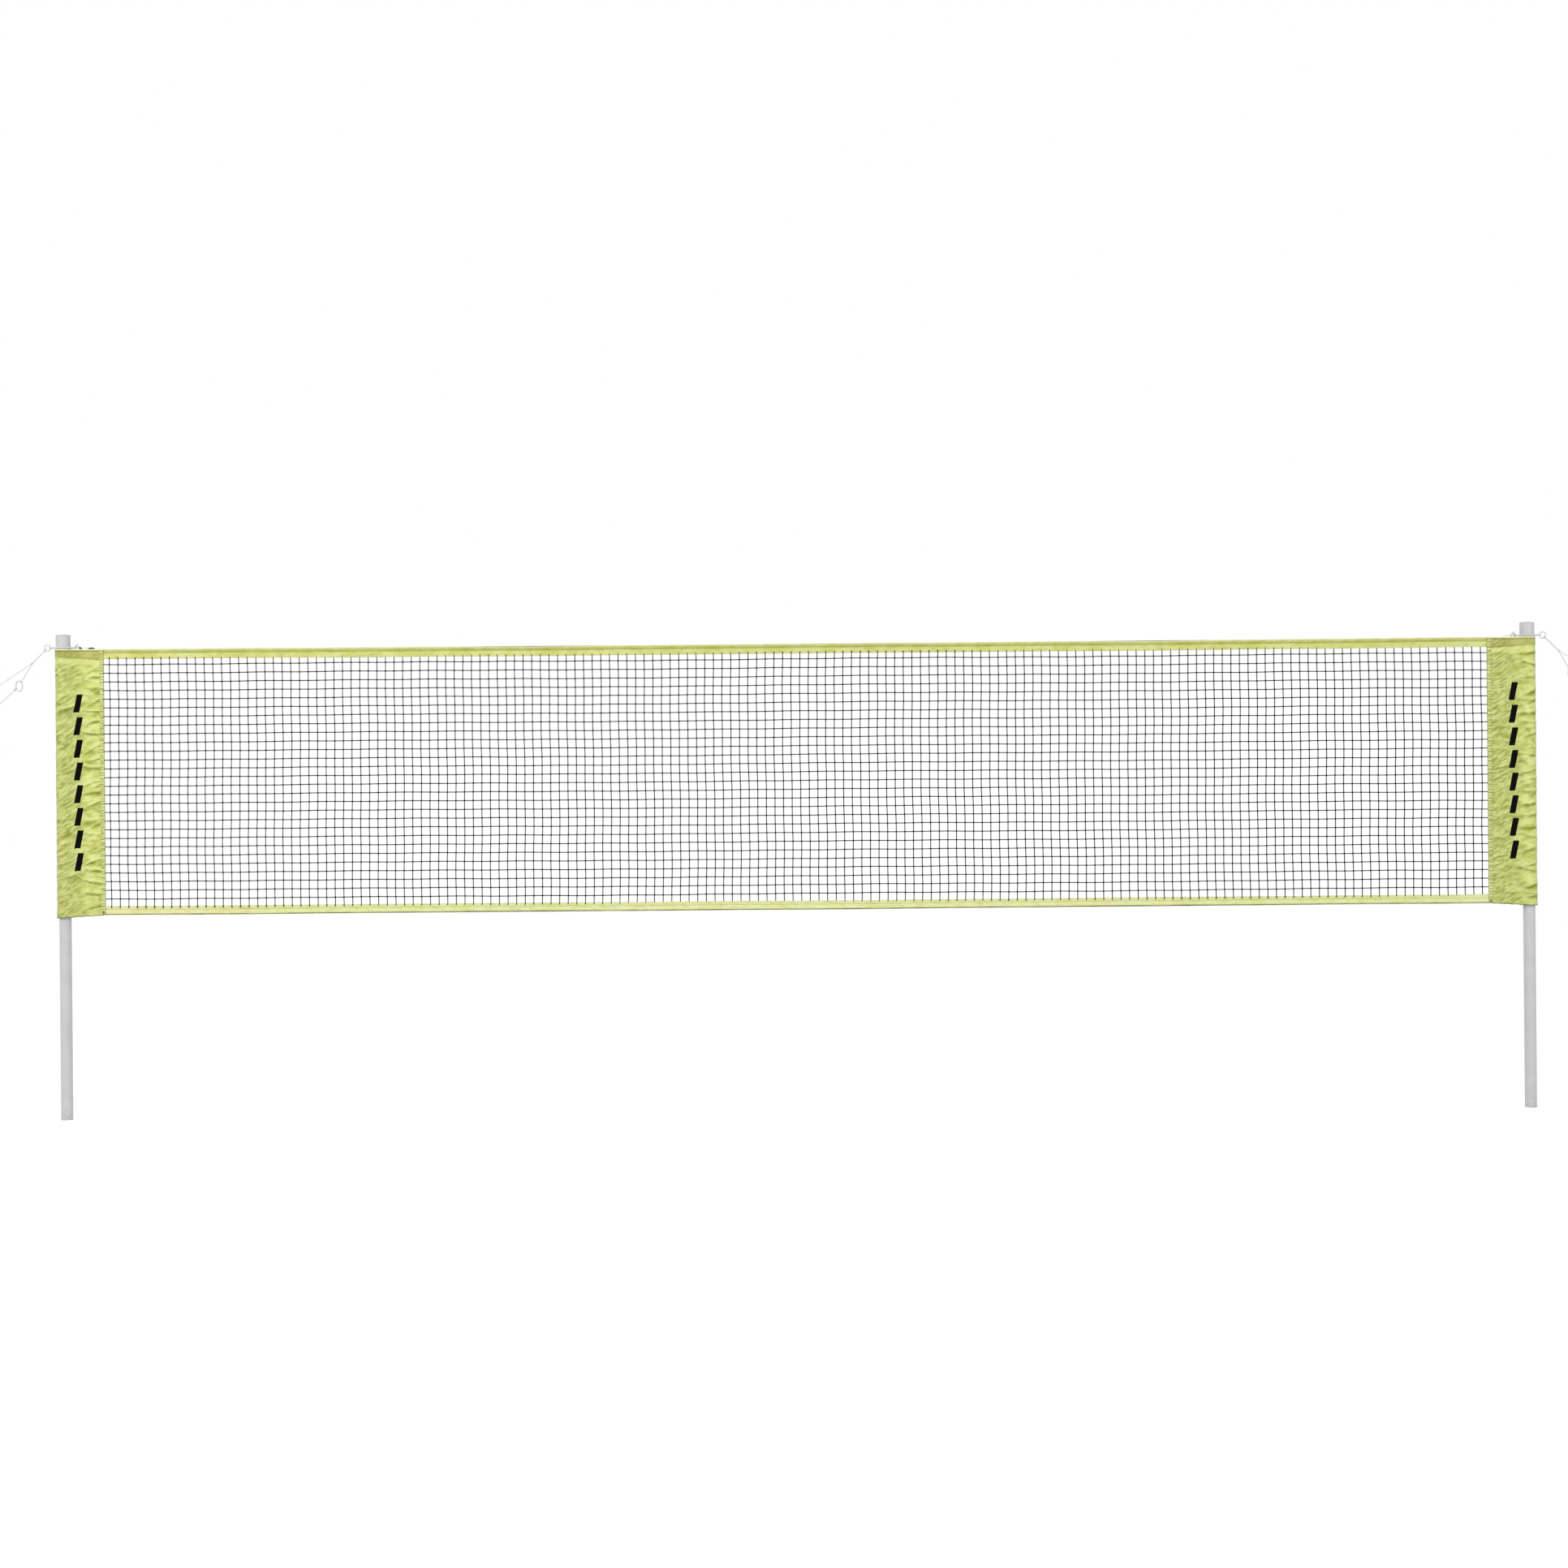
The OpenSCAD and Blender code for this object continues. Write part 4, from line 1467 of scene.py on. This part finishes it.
@dataclass(frozen=True)
class Netting:
    """Knotted netting of square cells between the two tapes."""

    layout: Layout
    uprights: int = 160
    levels: int = 28
    twine_d: float = 0.0030
    knot_r: float = 0.0034
    knot_shape: tuple[float, float, float] = (1.0, 0.85, 1.12)
    side_gap: float = 0.0185
    top_gap: float = 0.0173
    pitch_z: float = 0.02774
    tuck: float = 0.006
    end_tuck: float = 0.004
    # Half of a lacing loop: places along the net, out from it, and from the tape's edge to the tape.
    lace: tuple[tuple[float, float, float], ...] = ((-0.0008, 0.0024, 0.005), (0.0, 0.0024, -0.0005))
    lace_foot: float = -0.0022

    @property
    def pitch_x(self) -> float:
        """Distance between two upright twines."""
        return 2 * (self.layout.net_half - self.side_gap) / (self.uprights - 1)

    @property
    def first_x(self) -> float:
        """Place of the first upright twine."""
        return -self.layout.net_half + self.side_gap

    @property
    def lowest_z(self) -> float:
        """Height of the lowest level twine."""
        return self.layout.mesh_top - self.top_gap - (self.levels - 1) * self.pitch_z

    def spread(self, made: Piece, along: bool, down: bool, nodes: Sequence[str] = ()) -> None:
        """Repeats a piece over the net, lets it sway and dresses it.

        Args:
            made: The piece.
            along: Whether it is repeated for each upright twine.
            down: Whether it is repeated for each level twine.
            nodes: The nodes that it stands for.
        """
        across, up = Vector((self.pitch_x, 0.0, 0.0)), Vector((0.0, 0.0, self.pitch_z))
        rows = [(self.uprights, across)] if along else []
        repeated(made, rows + ([(self.levels, up)] if down else []))
        moved(made, lambda points: sway(points, self.layout))
        fasten(made, "left_upper", NET_TWINE, nodes)

    def twine(self, name: str, start: Vector, end: Vector, steps: int) -> Piece:
        """Makes one straight twine.

        Args:
            name: The object's name.
            start: One end.
            end: The other end.
            steps: Number of steps between them.

        Returns:
            The twine.
        """
        path = [start + (end - start) * k / steps for k in range(steps + 1)]
        return swept(name, path, self.twine_d / 2, sides=6)

    def twines(self) -> None:
        """Makes one upright and one level twine, and repeats each over the net."""
        low, high = self.layout.mesh_bottom - self.tuck, self.layout.mesh_top + self.tuck
        foot, head = (Vector((self.first_x, 0.0, z)) for z in (low, high))
        self.spread(self.twine("upright_twines", foot, head, 2 * self.levels + 4), True, False, ["net_mesh"])
        half = self.layout.net_half + self.end_tuck
        left, right = (Vector((x, 0.0, self.lowest_z)) for x in (-half, half))
        self.spread(self.twine("level_twines", left, right, 2 * self.uprights), False, True)

    def knots(self) -> None:
        """Makes one small knot and repeats it at every crossing."""
        bm = bmesh.new()
        bmesh.ops.create_icosphere(bm, subdivisions=1, radius=self.knot_r)
        bmesh.ops.scale(bm, vec=self.knot_shape, verts=bm.verts)
        bmesh.ops.translate(bm, vec=(self.first_x, 0.0, self.lowest_z), verts=bm.verts)
        self.spread(piece_from(bm, "twine_knots"), True, True)

    def lacing(self) -> None:
        """Makes the small loops that tie each upright twine to the tapes."""
        half = [Vector(corner) for corner in self.lace]
        back = [Vector((-x, -out, rise)) for x, out, rise in reversed(half)]
        parts = []
        for edge, z in ((Edge.TOP, self.layout.mesh_top), (Edge.BOTTOM, self.layout.mesh_bottom)):
            path = [
                Vector((self.first_x + x, -out, z + edge.value * rise))
                for x, out, rise in (*half, Vector((0.0, 0.0, self.lace_foot)), *back)
            ]
            parts.append(swept(edge.named("lace"), path, self.twine_d * 0.42, sides=5))
        self.spread(joined("lacing_loops", parts), True, False)

    def build(self) -> None:
        """Makes the twines, the knots and the lacing."""
        self.twines()
        self.knots()
        self.lacing()


@dataclass(frozen=True)
class Tape:
    """Tape along one long edge of the net, folded in half round its rope."""

    edge: Edge
    layout: Layout
    netting: Netting
    rope_r: float
    skin: float = 0.0005
    half_gap: float = 0.0011
    neck_rise: float = 0.002
    fold_steps: int = 16
    flat_steps: int = 8
    step: float = 0.0046
    waves: int = 14
    end_reach: float = 0.0005
    # The loose edge: how deep it is scalloped between the lacing loops, the share of a scallop below
    # which it is drawn up, how far all of it is drawn up, and how much its puckers open.
    scallop: float = 0.0012
    scallop_middle: float = 0.6
    drawn_up: float = 0.0009
    flare: float = 1.4

    @property
    def height(self) -> float:
        """Height of the folded tape."""
        top = self.edge is Edge.TOP
        return self.fold_z - self.layout.mesh_top if top else self.layout.mesh_bottom - self.fold_z

    @property
    def fold_z(self) -> float:
        """Height above the ground at which the tape is folded."""
        return self.layout.net_top if self.edge is Edge.TOP else self.layout.net_bottom

    @property
    def neck(self) -> float:
        """Depth below the folded edge where the two halves meet under the rope."""
        return 2 * (self.rope_r + self.skin) + self.neck_rise

    def section(self) -> np.ndarray:
        """Cross-section from the front edge over the rope to the back edge.

        Returns:
            Rows of: place along Y, depth below the folded edge, distance along the cloth.
        """
        bulge, steps = self.rope_r + self.skin, self.flat_steps
        depths = [self.neck + (self.height - self.neck) * (1 - k / steps) for k in range(steps)] + [self.neck]
        arc = []
        for k in range(self.fold_steps + 1):
            angle = math.radians(-60 + 300 * k / self.fold_steps)
            arc.append((-bulge * math.cos(angle), bulge - bulge * math.sin(angle)))
        front = [(-self.half_gap, depth) for depth in depths]
        back = [(self.half_gap, depth) for depth in reversed(depths)]
        line = np.array(front + arc + back)
        along = lengths(line)
        return np.column_stack([line, along - along[-1] / 2])

    def finish(self, width: float) -> TapeCloth:
        """The tape's cloth. On the top tape the row of stitches lies just under the rope.

        Args:
            width: The width of the unfolded tape.

        Returns:
            The finish.
        """
        if self.edge is Edge.BOTTOM:
            return BOTTOM_TAPE
        return replace(TOP_TAPE, stitch_row=width / 2 - (self.height - self.neck) + self.neck_rise)

    def build(self) -> None:
        """Makes the folded tape with its puckers and its scalloped lower edge."""
        half = self.layout.net_half + self.end_reach
        rows = self.section()
        shares = np.linspace(0.0, 1.0, len(rows))
        sign = self.edge.value
        rng = np.random.default_rng(SEED + sign)
        limits = ((60, 420), (0, math.tau), (0.05, 0.16))
        waves = [[rng.uniform(*pair) for pair in limits] for _ in range(self.waves)]

        def place(s: np.ndarray, t: np.ndarray) -> np.ndarray:
            """Puts the shares on the folded section.

            Args:
                s: Shares of the way along the tape.
                t: Shares of the way round its section.

            Returns:
                The points.
            """
            x = -half + 2 * half * s
            y = np.interp(t, shares, rows[:, 0])
            depth = np.interp(t, shares, rows[:, 1])
            loose = np.clip((depth - self.height * 0.3) / (self.height * 0.7), 0.0, 1.0)
            pull = np.abs(np.sin(math.pi * (x - self.netting.first_x) / self.netting.pitch_x))
            depth = depth + loose**3 * (self.scallop * (pull - self.scallop_middle) - self.drawn_up)
            pucker = sum(a * np.sin(w * x + p) for w, p, a in waves) * MM
            y = y + np.sign(y) * loose * np.abs(pucker) * self.flare
            slow = 0.0005 * np.sin(3.1 * x + 1.2) + 0.0003 * np.sin(9.7 * x) - 0.0008
            return np.column_stack([x, y, self.fold_z - sign * depth + sign * slow - self.layout.sag(x)])

        def label(s: np.ndarray, t: np.ndarray) -> np.ndarray:
            """Metres along the tape, and across it from its middle."""
            return np.column_stack([-half + 2 * half * s, np.interp(t, shares, rows[:, 2])])

        columns = round(2 * half / self.step)
        made = mapped_grid(self.edge.named("tape_cloth"), columns, len(rows) - 1, place, label)
        thicken(made, self.skin)
        width = float(rows[-1, 2] - rows[0, 2])
        fasten(made, "left_upper", self.finish(width), [self.edge.named("tape")])
        self.edge.named("rope_braid")


# Sleeves


@dataclass(frozen=True)
class Crease:
    """One crease in a face of cloth, in metres."""

    start: float
    level: float
    slope: float
    bend: float
    length: float
    thick: float
    size: float

    def on(self, away: np.ndarray, up: np.ndarray) -> np.ndarray:
        """Height of the crease.

        Args:
            away: Distance from the edge that lies towards +X.
            up: Height above the lower hem.

        Returns:
            How far the cloth stands out, in metres.
        """
        run = away - self.start
        offset = up - self.level - self.slope * run - self.bend * run * run
        offset = offset / math.sqrt(1 + self.slope * self.slope)
        fade = np.clip(1 - np.abs(run) / self.length, 0.0, 1.0) ** 0.8
        return self.size * np.exp(-((offset / self.thick) ** 2)) * fade


@dataclass(frozen=True)
class CreaseKind:
    """Limits between which the creases of one kind are drawn, in metres."""

    length: tuple[float, float]
    thick: tuple[float, float]
    size: tuple[float, float]


@dataclass(frozen=True)
class Crumple:
    """One set of soft ridges that slant across a face of cloth and come and go, in metres."""

    pitch: float
    tilt: float
    phase: float
    patch: tuple[float, float]
    size: float

    def on(self, away: np.ndarray, up: np.ndarray) -> np.ndarray:
        """Height of the ridges.

        Args:
            away: Distance from the edge that lies towards +X.
            up: Height above the lower hem.

        Returns:
            How far the cloth stands out, in metres.
        """
        shift = 0.0035 * np.sin(61 * up + 3 * self.phase) + 0.003 * np.sin(83 * away + 47 * up + self.phase)
        run = (up + shift) * math.cos(self.tilt) + (away + 1.6 * shift) * math.sin(self.tilt)
        ridge = 1 - np.abs(np.sin(math.pi / self.pitch * run + self.phase))
        patch = np.sin(up / self.patch[0] + 2 * self.phase)
        patch += np.sin(away / self.patch[1] + up / 0.05 + self.phase)
        return self.size * ridge * np.clip(patch, 0.0, 1.0)


@dataclass(frozen=True)
class CrumpleKind:
    """What the crumples of one kind have in common."""

    # In metres, the middle and the spread in radians, and a share of the pitch.
    pitches: tuple[float, ...]
    tilt: tuple[float, float]
    height: tuple[float, float]


LONG_CREASE = CreaseKind(length=(0.045, 0.09), thick=(0.0038, 0.0065), size=(0.0016, 0.0032))
SHORT_GATHER = CreaseKind(length=(0.012, 0.03), thick=(0.002, 0.0035), size=(0.0005, 0.0012))
LEVEL_CRUMPLE = CrumpleKind(pitches=(0.022, 0.032, 0.045, 0.060), tilt=(0.35, 0.3), height=(0.015, 0.040))
SLANTING_CRUMPLE = CrumpleKind(pitches=(0.012, 0.018, 0.030, 0.045), tilt=(0.65, 0.2), height=(0.03, 0.07))


@dataclass(frozen=True)
class Sleeve:
    """Cloth pocket at one end of the net: flat by the net, then round the pole."""

    side: Side
    layout: Layout
    reach: float = 0.129
    seam: float = 0.060
    ease: float = 0.0012
    wall: float = 0.0007
    half_gap: float = 0.0014
    slant: float = 0.008
    columns: int = 130
    rows: int = 320
    flat_steps: int = 40
    leg_steps: int = 30
    rounds: int = 40
    gathers: int = 70
    crumples: int = 28
    # Over this distance the painted shade and highlight of a crease are read from its two sides.
    tone_step: float = 0.0012
    # Reach inward from the pole over which the cloth goes from round to flat.
    turn: float = 0.03
    # How far the hems stand out, below and above, and how soft the upper one's edge is.
    hem_steps: tuple[float, float] = (0.0006, 0.0009)
    hem_soft: float = 0.0015
    # Ridge over the top rope: its height, its depth below the top, its width and where it starts.
    rope_rise: float = 0.0024
    rope_depth: float = 0.0032
    rope_wide: float = 0.0045
    rope_from: float = 0.055
    # The cloth lies flat under the band at the seam, and is free a little further on.
    seam_flat: float = 0.011
    seam_ease: float = 0.012

    @property
    def span(self) -> float:
        """Height of the net, and of the sleeve at its seam."""
        return self.layout.net_top - self.layout.net_bottom

    def section(self) -> np.ndarray:
        """Level line of the cloth, from the seam in front, round the pole, to the seam behind.

        Returns:
            Rows of: reach inward from the pole, place along Y, distance from the outermost point.
        """
        radius = self.layout.tube_r + self.ease
        tangent = math.acos(radius / self.seam)
        steps, gap = self.flat_steps, -self.half_gap
        front = [(self.reach - (self.reach - self.seam) * k / steps, gap) for k in range(steps + 1)]
        touch = (radius * math.cos(tangent), -radius * math.sin(tangent))
        for k in range(1, self.leg_steps + 1):
            share = k / self.leg_steps
            front.append((self.seam + (touch[0] - self.seam) * share, gap + (touch[1] - gap) * share))
        line = np.array(front)
        for _ in range(self.rounds):
            line[1:-1] = (line[:-2] + 2 * line[1:-1] + line[2:]) / 4
        turns = tangent + (math.pi - tangent) * np.arange(1, steps + 1) / steps
        half = np.vstack([line, radius * np.column_stack([np.cos(turns), -np.sin(turns)])])
        along = lengths(half)
        front_part = np.column_stack([half, along[-1] - along])
        return np.vstack([front_part, front_part[-2::-1] * np.array([1.0, -1.0, -1.0])])

    def folds(self, face: int) -> tuple[list[Crease], list[Crumple], list[Crumple]]:
        """Scatters the creases of one face.

        Args:
            face: Which face of the sleeve this is.

        Returns:
            Short gathers at the edge towards +X, crumples for that half and slanting ones for the other.
        """
        rng = random.Random(SEED * 100 + face * 10 + self.side.value)
        gathers = []
        for k in range(self.gathers):
            long = k % 3 == 0
            kind = LONG_CREASE if long else SHORT_GATHER
            gathers.append(
                Crease(
                    start=rng.uniform(0.0, 0.03) if long else 0.0,
                    level=(k + rng.uniform(-0.4, 0.4)) / self.gathers * self.span,
                    slope=rng.uniform(-0.55, 0.15),
                    bend=rng.uniform(-4.0, 4.0),
                    length=rng.uniform(*kind.length),
                    thick=rng.uniform(*kind.thick),
                    size=rng.uniform(*kind.size),
                )
            )
        level, slanting = [], []
        for k in range(self.crumples):
            kind, kept = (SLANTING_CRUMPLE, slanting) if k % 2 else (LEVEL_CRUMPLE, level)
            pitch = rng.choice(kind.pitches)
            kept.append(
                Crumple(
                    pitch=pitch,
                    tilt=rng.gauss(*kind.tilt),
                    phase=rng.uniform(0, math.tau),
                    patch=(rng.uniform(0.012, 0.03), rng.uniform(0.010, 0.022)),
                    size=pitch * rng.uniform(*kind.height),
                )
            )
        return gathers, level, slanting

    def slanted(self, away: np.ndarray, width: float) -> np.ndarray:
        """How far the cloth is pulled slantwise, from 0 in the half towards +X to 1 in the other."""
        return np.clip(away / width * 2.6 - 0.7, 0.0, 1.0)

    def relief(self, away: np.ndarray, up: np.ndarray, width: float, face: int) -> np.ndarray:
        """Lays the creases of one face on the cloth.

        Args:
            away: Distance from the edge that lies towards +X.
            up: Height above the lower hem.
            width: Width of a face.
            face: Which face of the sleeve this is.

        Returns:
            How far the cloth stands out, in metres.
        """
        gathers, level, slanting = self.folds(face)
        share = self.slanted(away, width)
        height = 0.0012 * np.sin(math.tau * up / 0.17 + 18 * away + face) * (1 - away / width)
        height += sum(fold.on(away, up) for fold in gathers)
        height += (1 - share) * sum(fold.on(away, up) for fold in level)
        return height + share * sum(fold.on(away, up) for fold in slanting)

    def cloth(self) -> None:
        """Makes the pocket itself, with its creases and the steps of its hems."""
        rows = self.section()
        shares = np.linspace(0.0, 1.0, len(rows))
        half_width = float(rows[0, 2])
        steps = np.linspace(0.0, 1.0, 400)
        even = np.interp(half_width - 2 * half_width * steps, rows[::-1, 2], shares[::-1])
        radius = self.layout.tube_r + self.ease
        span, sign = self.span, self.side.value
        finish = replace(SLEEVE_CLOTH, length=span, half_width=half_width)
        marks: Marks = {}

        def lie(s: np.ndarray) -> tuple[np.ndarray, np.ndarray, np.ndarray]:
            """Place on the section for even shares of its length."""
            t = np.interp(s, steps, even)
            return tuple(np.interp(t, shares, rows[:, c]) for c in range(3))

        def outward(s: np.ndarray, reach: np.ndarray, y: np.ndarray) -> np.ndarray:
            """Finds the level direction in which the cloth faces away from the inside of the pocket.

            Args:
                s: Shares of the way round the section.
                reach: Reach inward from the pole there.
                y: Place along Y there.

            Returns:
                Rows of: part of the direction towards the net, part of it along Y.
            """
            ahead, behind = (lie(np.clip(s + step, 0, 1)) for step in (0.002, -0.002))
            along = np.column_stack([ahead[0] - behind[0], ahead[1] - behind[1]])
            along /= np.linalg.norm(along, axis=1)[:, None]
            out = np.column_stack([along[:, 1], -along[:, 0]])
            outermost = np.sign(out[:, 0] * (reach - self.turn) + out[:, 1] * y)
            return out * np.where(outermost == 0, 1.0, outermost)[:, None]

        def place(s: np.ndarray, t: np.ndarray) -> np.ndarray:
            """Puts the shares on the creased pocket, and fills in the marks.

            Args:
                s: Shares of the way round the section.
                t: Shares of the way up the sleeve.

            Returns:
                The points.
            """
            reach, y, away = lie(s)
            out = outward(s, reach, y)
            up = t * span
            from_seam = half_width - np.abs(away)
            blend = np.clip(away / self.turn + 0.5, 0.0, 1.0)
            run = from_seam if self.side is Side.LEFT else half_width - from_seam
            height, above, beside = (
                self.relief(run + side, up + rise, half_width, 0) * blend
                + self.relief(run + side, up + rise, half_width, 1) * (1 - blend)
                for side, rise in ((0.0, 0.0), (0.0, self.tone_step), (self.tone_step, 0.0))
            )
            facing = ((height - above) - 0.5 * (height - beside)) / self.tone_step
            hem = 1 / (1 + np.exp(-(up - span + finish.top_hem) / self.hem_soft))
            smooth = 1 - 0.75 * hem
            # Painted shade and painted highlight from the slope of the relief, as if lit from above and one
            # side; weaker in the upper hem.
            marks["crease"] = np.clip(-2.1 * facing * smooth, 0.0, 0.8)
            marks["ridge"] = np.clip(2.2 * facing * smooth, 0.0, 0.8)
            # The same share sets painted shade over the part of the sleeve towards -X, as if lit from +X, and
            # picks the slanting streaks.
            marks["slant"] = self.slanted(run, half_width)
            # Painted highlight along the rounded outer edge of the pocket, beyond the pole's middle.
            marks["rim_highlight"] = np.clip((-0.0165 - reach) / 0.004, 0.0, 0.4)
            height = height * np.clip(reach / self.turn, 0.3, 1.0) * smooth
            height += self.hem_steps[0] * (up < finish.bottom_hem) + self.hem_steps[1] * hem
            ridge = np.exp(-(((up - span + self.rope_depth) / self.rope_wide) ** 2))
            free = np.clip((from_seam - self.seam_flat) / self.seam_ease, 0.08, 1.0)
            height = height * free + self.rope_rise * ridge * (reach > self.rope_from)
            drop = self.slant * (self.reach - reach) / (self.reach + radius) * (1 - t)
            ripple = 0.0006 * np.sin(38 * away / half_width + 2.0) * (1 - t)
            z = self.layout.net_bottom + up - drop + ripple
            x = sign * (self.layout.pole_x - reach - height * out[:, 0])
            return np.column_stack([x, y + height * out[:, 1], z])

        def label(s: np.ndarray, t: np.ndarray) -> np.ndarray:
            """Metres round the pocket from its outermost line, and up from the lower hem."""
            return np.column_stack([-sign * lie(s)[2], t * span])

        made = mapped_grid(self.side.named("sleeve_cloth"), self.columns, self.rows, place, label, marks)
        if self.side is Side.LEFT:
            made.data.flip_normals()
        thicken(made, self.wall)
        fasten(made, "left_upper", finish, [self.side.named("sleeve")])
        poles = [self.side.named("upper_tube")]

    def build(self) -> None:
        """Makes the pocket and the band over its seam."""
        self.cloth()
        SeamBinding(self.side, self.layout, self.span, edge=self.reach - MM).build()


@dataclass(frozen=True)
class SeamBinding:
    """Puckered band that is sewn over the inner seam of a sleeve, with its bar tacks."""

    side: Side
    layout: Layout
    span: float
    edge: float
    width: float = 0.012
    half_gap: float = 0.0028
    wall: float = 0.0006
    rows: int = 420
    puckers: int = 9
    # Corners of the front half: share of the width from the turned edge, and how far it stands out.
    front: tuple[tuple[float, float], ...] = ((1.0, 0.0), (0.6, 0.0006), (0.25, 0.0004))
    tack_turns: int = 16
    tack_width: float = 0.007
    tack_height: float = 0.010
    tack_up: float = 0.008
    tack_in: float = 0.005
    thread_r: float = 0.0004

    def section(self) -> np.ndarray:
        """Level line of the band, from its front edge round the seam to its back edge.

        Returns:
            Rows of: reach inward from the pole, place along Y.
        """
        front = [(self.edge - self.width * share, -self.half_gap - out) for share, out in self.front]
        turn = [
            (self.edge + 0.0006 * math.cos(a), -self.half_gap * math.sin(a))
            for a in np.linspace(math.pi / 2, -math.pi / 2, 7)
        ]
        return np.array(front + turn + [(reach, -y) for reach, y in reversed(front)])

    def band(self) -> None:
        """Makes the band itself."""
        sign, line = self.side.value, self.section()
        along = lengths(line)
        shares = np.linspace(0.0, 1.0, len(line))
        rng = random.Random(SEED + 40 + sign)
        limits = ((300, 900), (0, math.tau), (0.1, 0.22))
        puckers = [[rng.uniform(*pair) for pair in limits] for _ in range(self.puckers)]
        marks: Marks = {}

        def place(s: np.ndarray, t: np.ndarray) -> np.ndarray:
            """Wraps the shares over the seam, and fills in the marks.

            Args:
                s: Shares of the way round the section.
                t: Shares of the way up the band.

            Returns:
                The points.
            """
            up = t * (self.span - 0.003)
            pucker = sum(a * np.sin(w * up + p + 2 * s) for w, p, a in puckers)
            # Painted highlight on the puckers' crests and painted shade in their hollows.
            marks["ridge"] = np.clip(1.4 * pucker, 0.0, 0.9)
            marks["crease"] = np.clip(-1.2 * pucker, 0.0, 0.6)
            y = np.interp(s, shares, line[:, 1]) * (1 + 0.06 * pucker)
            reach = np.interp(s, shares, line[:, 0]) + 0.8 * MM * pucker
            return np.column_stack([sign * (self.layout.pole_x - reach), y, self.layout.net_bottom + up])

        def label(s: np.ndarray, t: np.ndarray) -> np.ndarray:
            """Metres up the band, and across it from its middle."""
            return np.column_stack([t * self.span, np.interp(s, shares, along) - along[-1] / 2])

        made = mapped_grid(self.side.named("seam_binding"), len(line) * 2, self.rows, place, label, marks)
        thicken(made, self.wall)
        fasten(made, "left_upper", BINDING)
        cloth = [self.side.named("sleeve_cloth")]

    def bar_tacks(self) -> None:
        """Makes the short close zigzags of thread that hold the foot of the seam."""
        middle = self.side.value * (self.layout.pole_x - self.edge + self.tack_in)
        z = self.layout.net_bottom + self.tack_up
        parts = []
        for face in (-1, 1):
            path = []
            for k in range(self.tack_turns + 1):
                x = middle + self.tack_width / 2 * (1 if k % 2 else -1)
                rise = self.tack_height * (k / self.tack_turns - 0.5)
                path.append(Vector((x, face * (self.half_gap + 0.0016), z + rise)))
            parts.append(swept("tack", path, self.thread_r, sides=5))
        fasten(joined(self.side.named("bar_tacks"), parts), "left_upper", TACK_THREAD)

    def build(self) -> None:
        """Makes the band and its tacks."""
        self.band()
        self.bar_tacks()


# Poles


@dataclass(frozen=True)
class Poles:
    """Finishes of the rigid parts, which keep their own shapes."""

    def build(self) -> None:
        """Dresses every tube, bush, cap, spring, button and ring."""
        dressed = {
            POLE_COAT: ("foot_tube", "lower_tube", "upper_tube", "section_spigot"),
            CAP_PLASTIC: ("pole_cap", "foot_plug"),
            BUSH_PLASTIC: ("top_bush", "lower_bush"),
            SPRING_STEEL: ("button_spring", "snap_button"),
            RING_PLASTIC: ("guy_ring", "tension_ring"),
        }
        for finish, parts in dressed.items():
            for part in parts:
                for side in Side:
                    self.dress(side.named(part), finish)

    def dress(self, node: str, finish: Finish) -> None:
        """Puts a finish on one node of the frame.

        Args:
            node: The node's name.
            finish: Its finish.
        """
        shown = bpy.data.objects[node]
        material = finish.material()
        if not shown.material_slots:
            shown.data.materials.append(material)
        for slot in shown.material_slots:
            slot.link = "OBJECT"
            slot.material = material
        LOG.info("%s: %s", node, finish.name)


def main() -> None:
    """Builds the cords, the net, its tapes, the sleeves and the poles, and the studio round them."""
    logging.basicConfig(level=logging.INFO, format="%(message)s")
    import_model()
    layout = Layout.read()
    studio = Studio()
    studio.camera()
    for side in Side:
        GuyRopes(side, layout).build()
        TieCord(side, layout).build()
    TopRope(layout).build()
    BottomRope(layout).build()
    netting = Netting(layout)
    netting.build()
    Tape(Edge.TOP, layout, netting, rope_r=0.0026).build()
    Tape(Edge.BOTTOM, layout, netting, rope_r=0.0011).build()
    for side in Side:
        Sleeve(side, layout).build()
    Poles().build()
    studio.build()


if __name__ == "__main__":
    main()
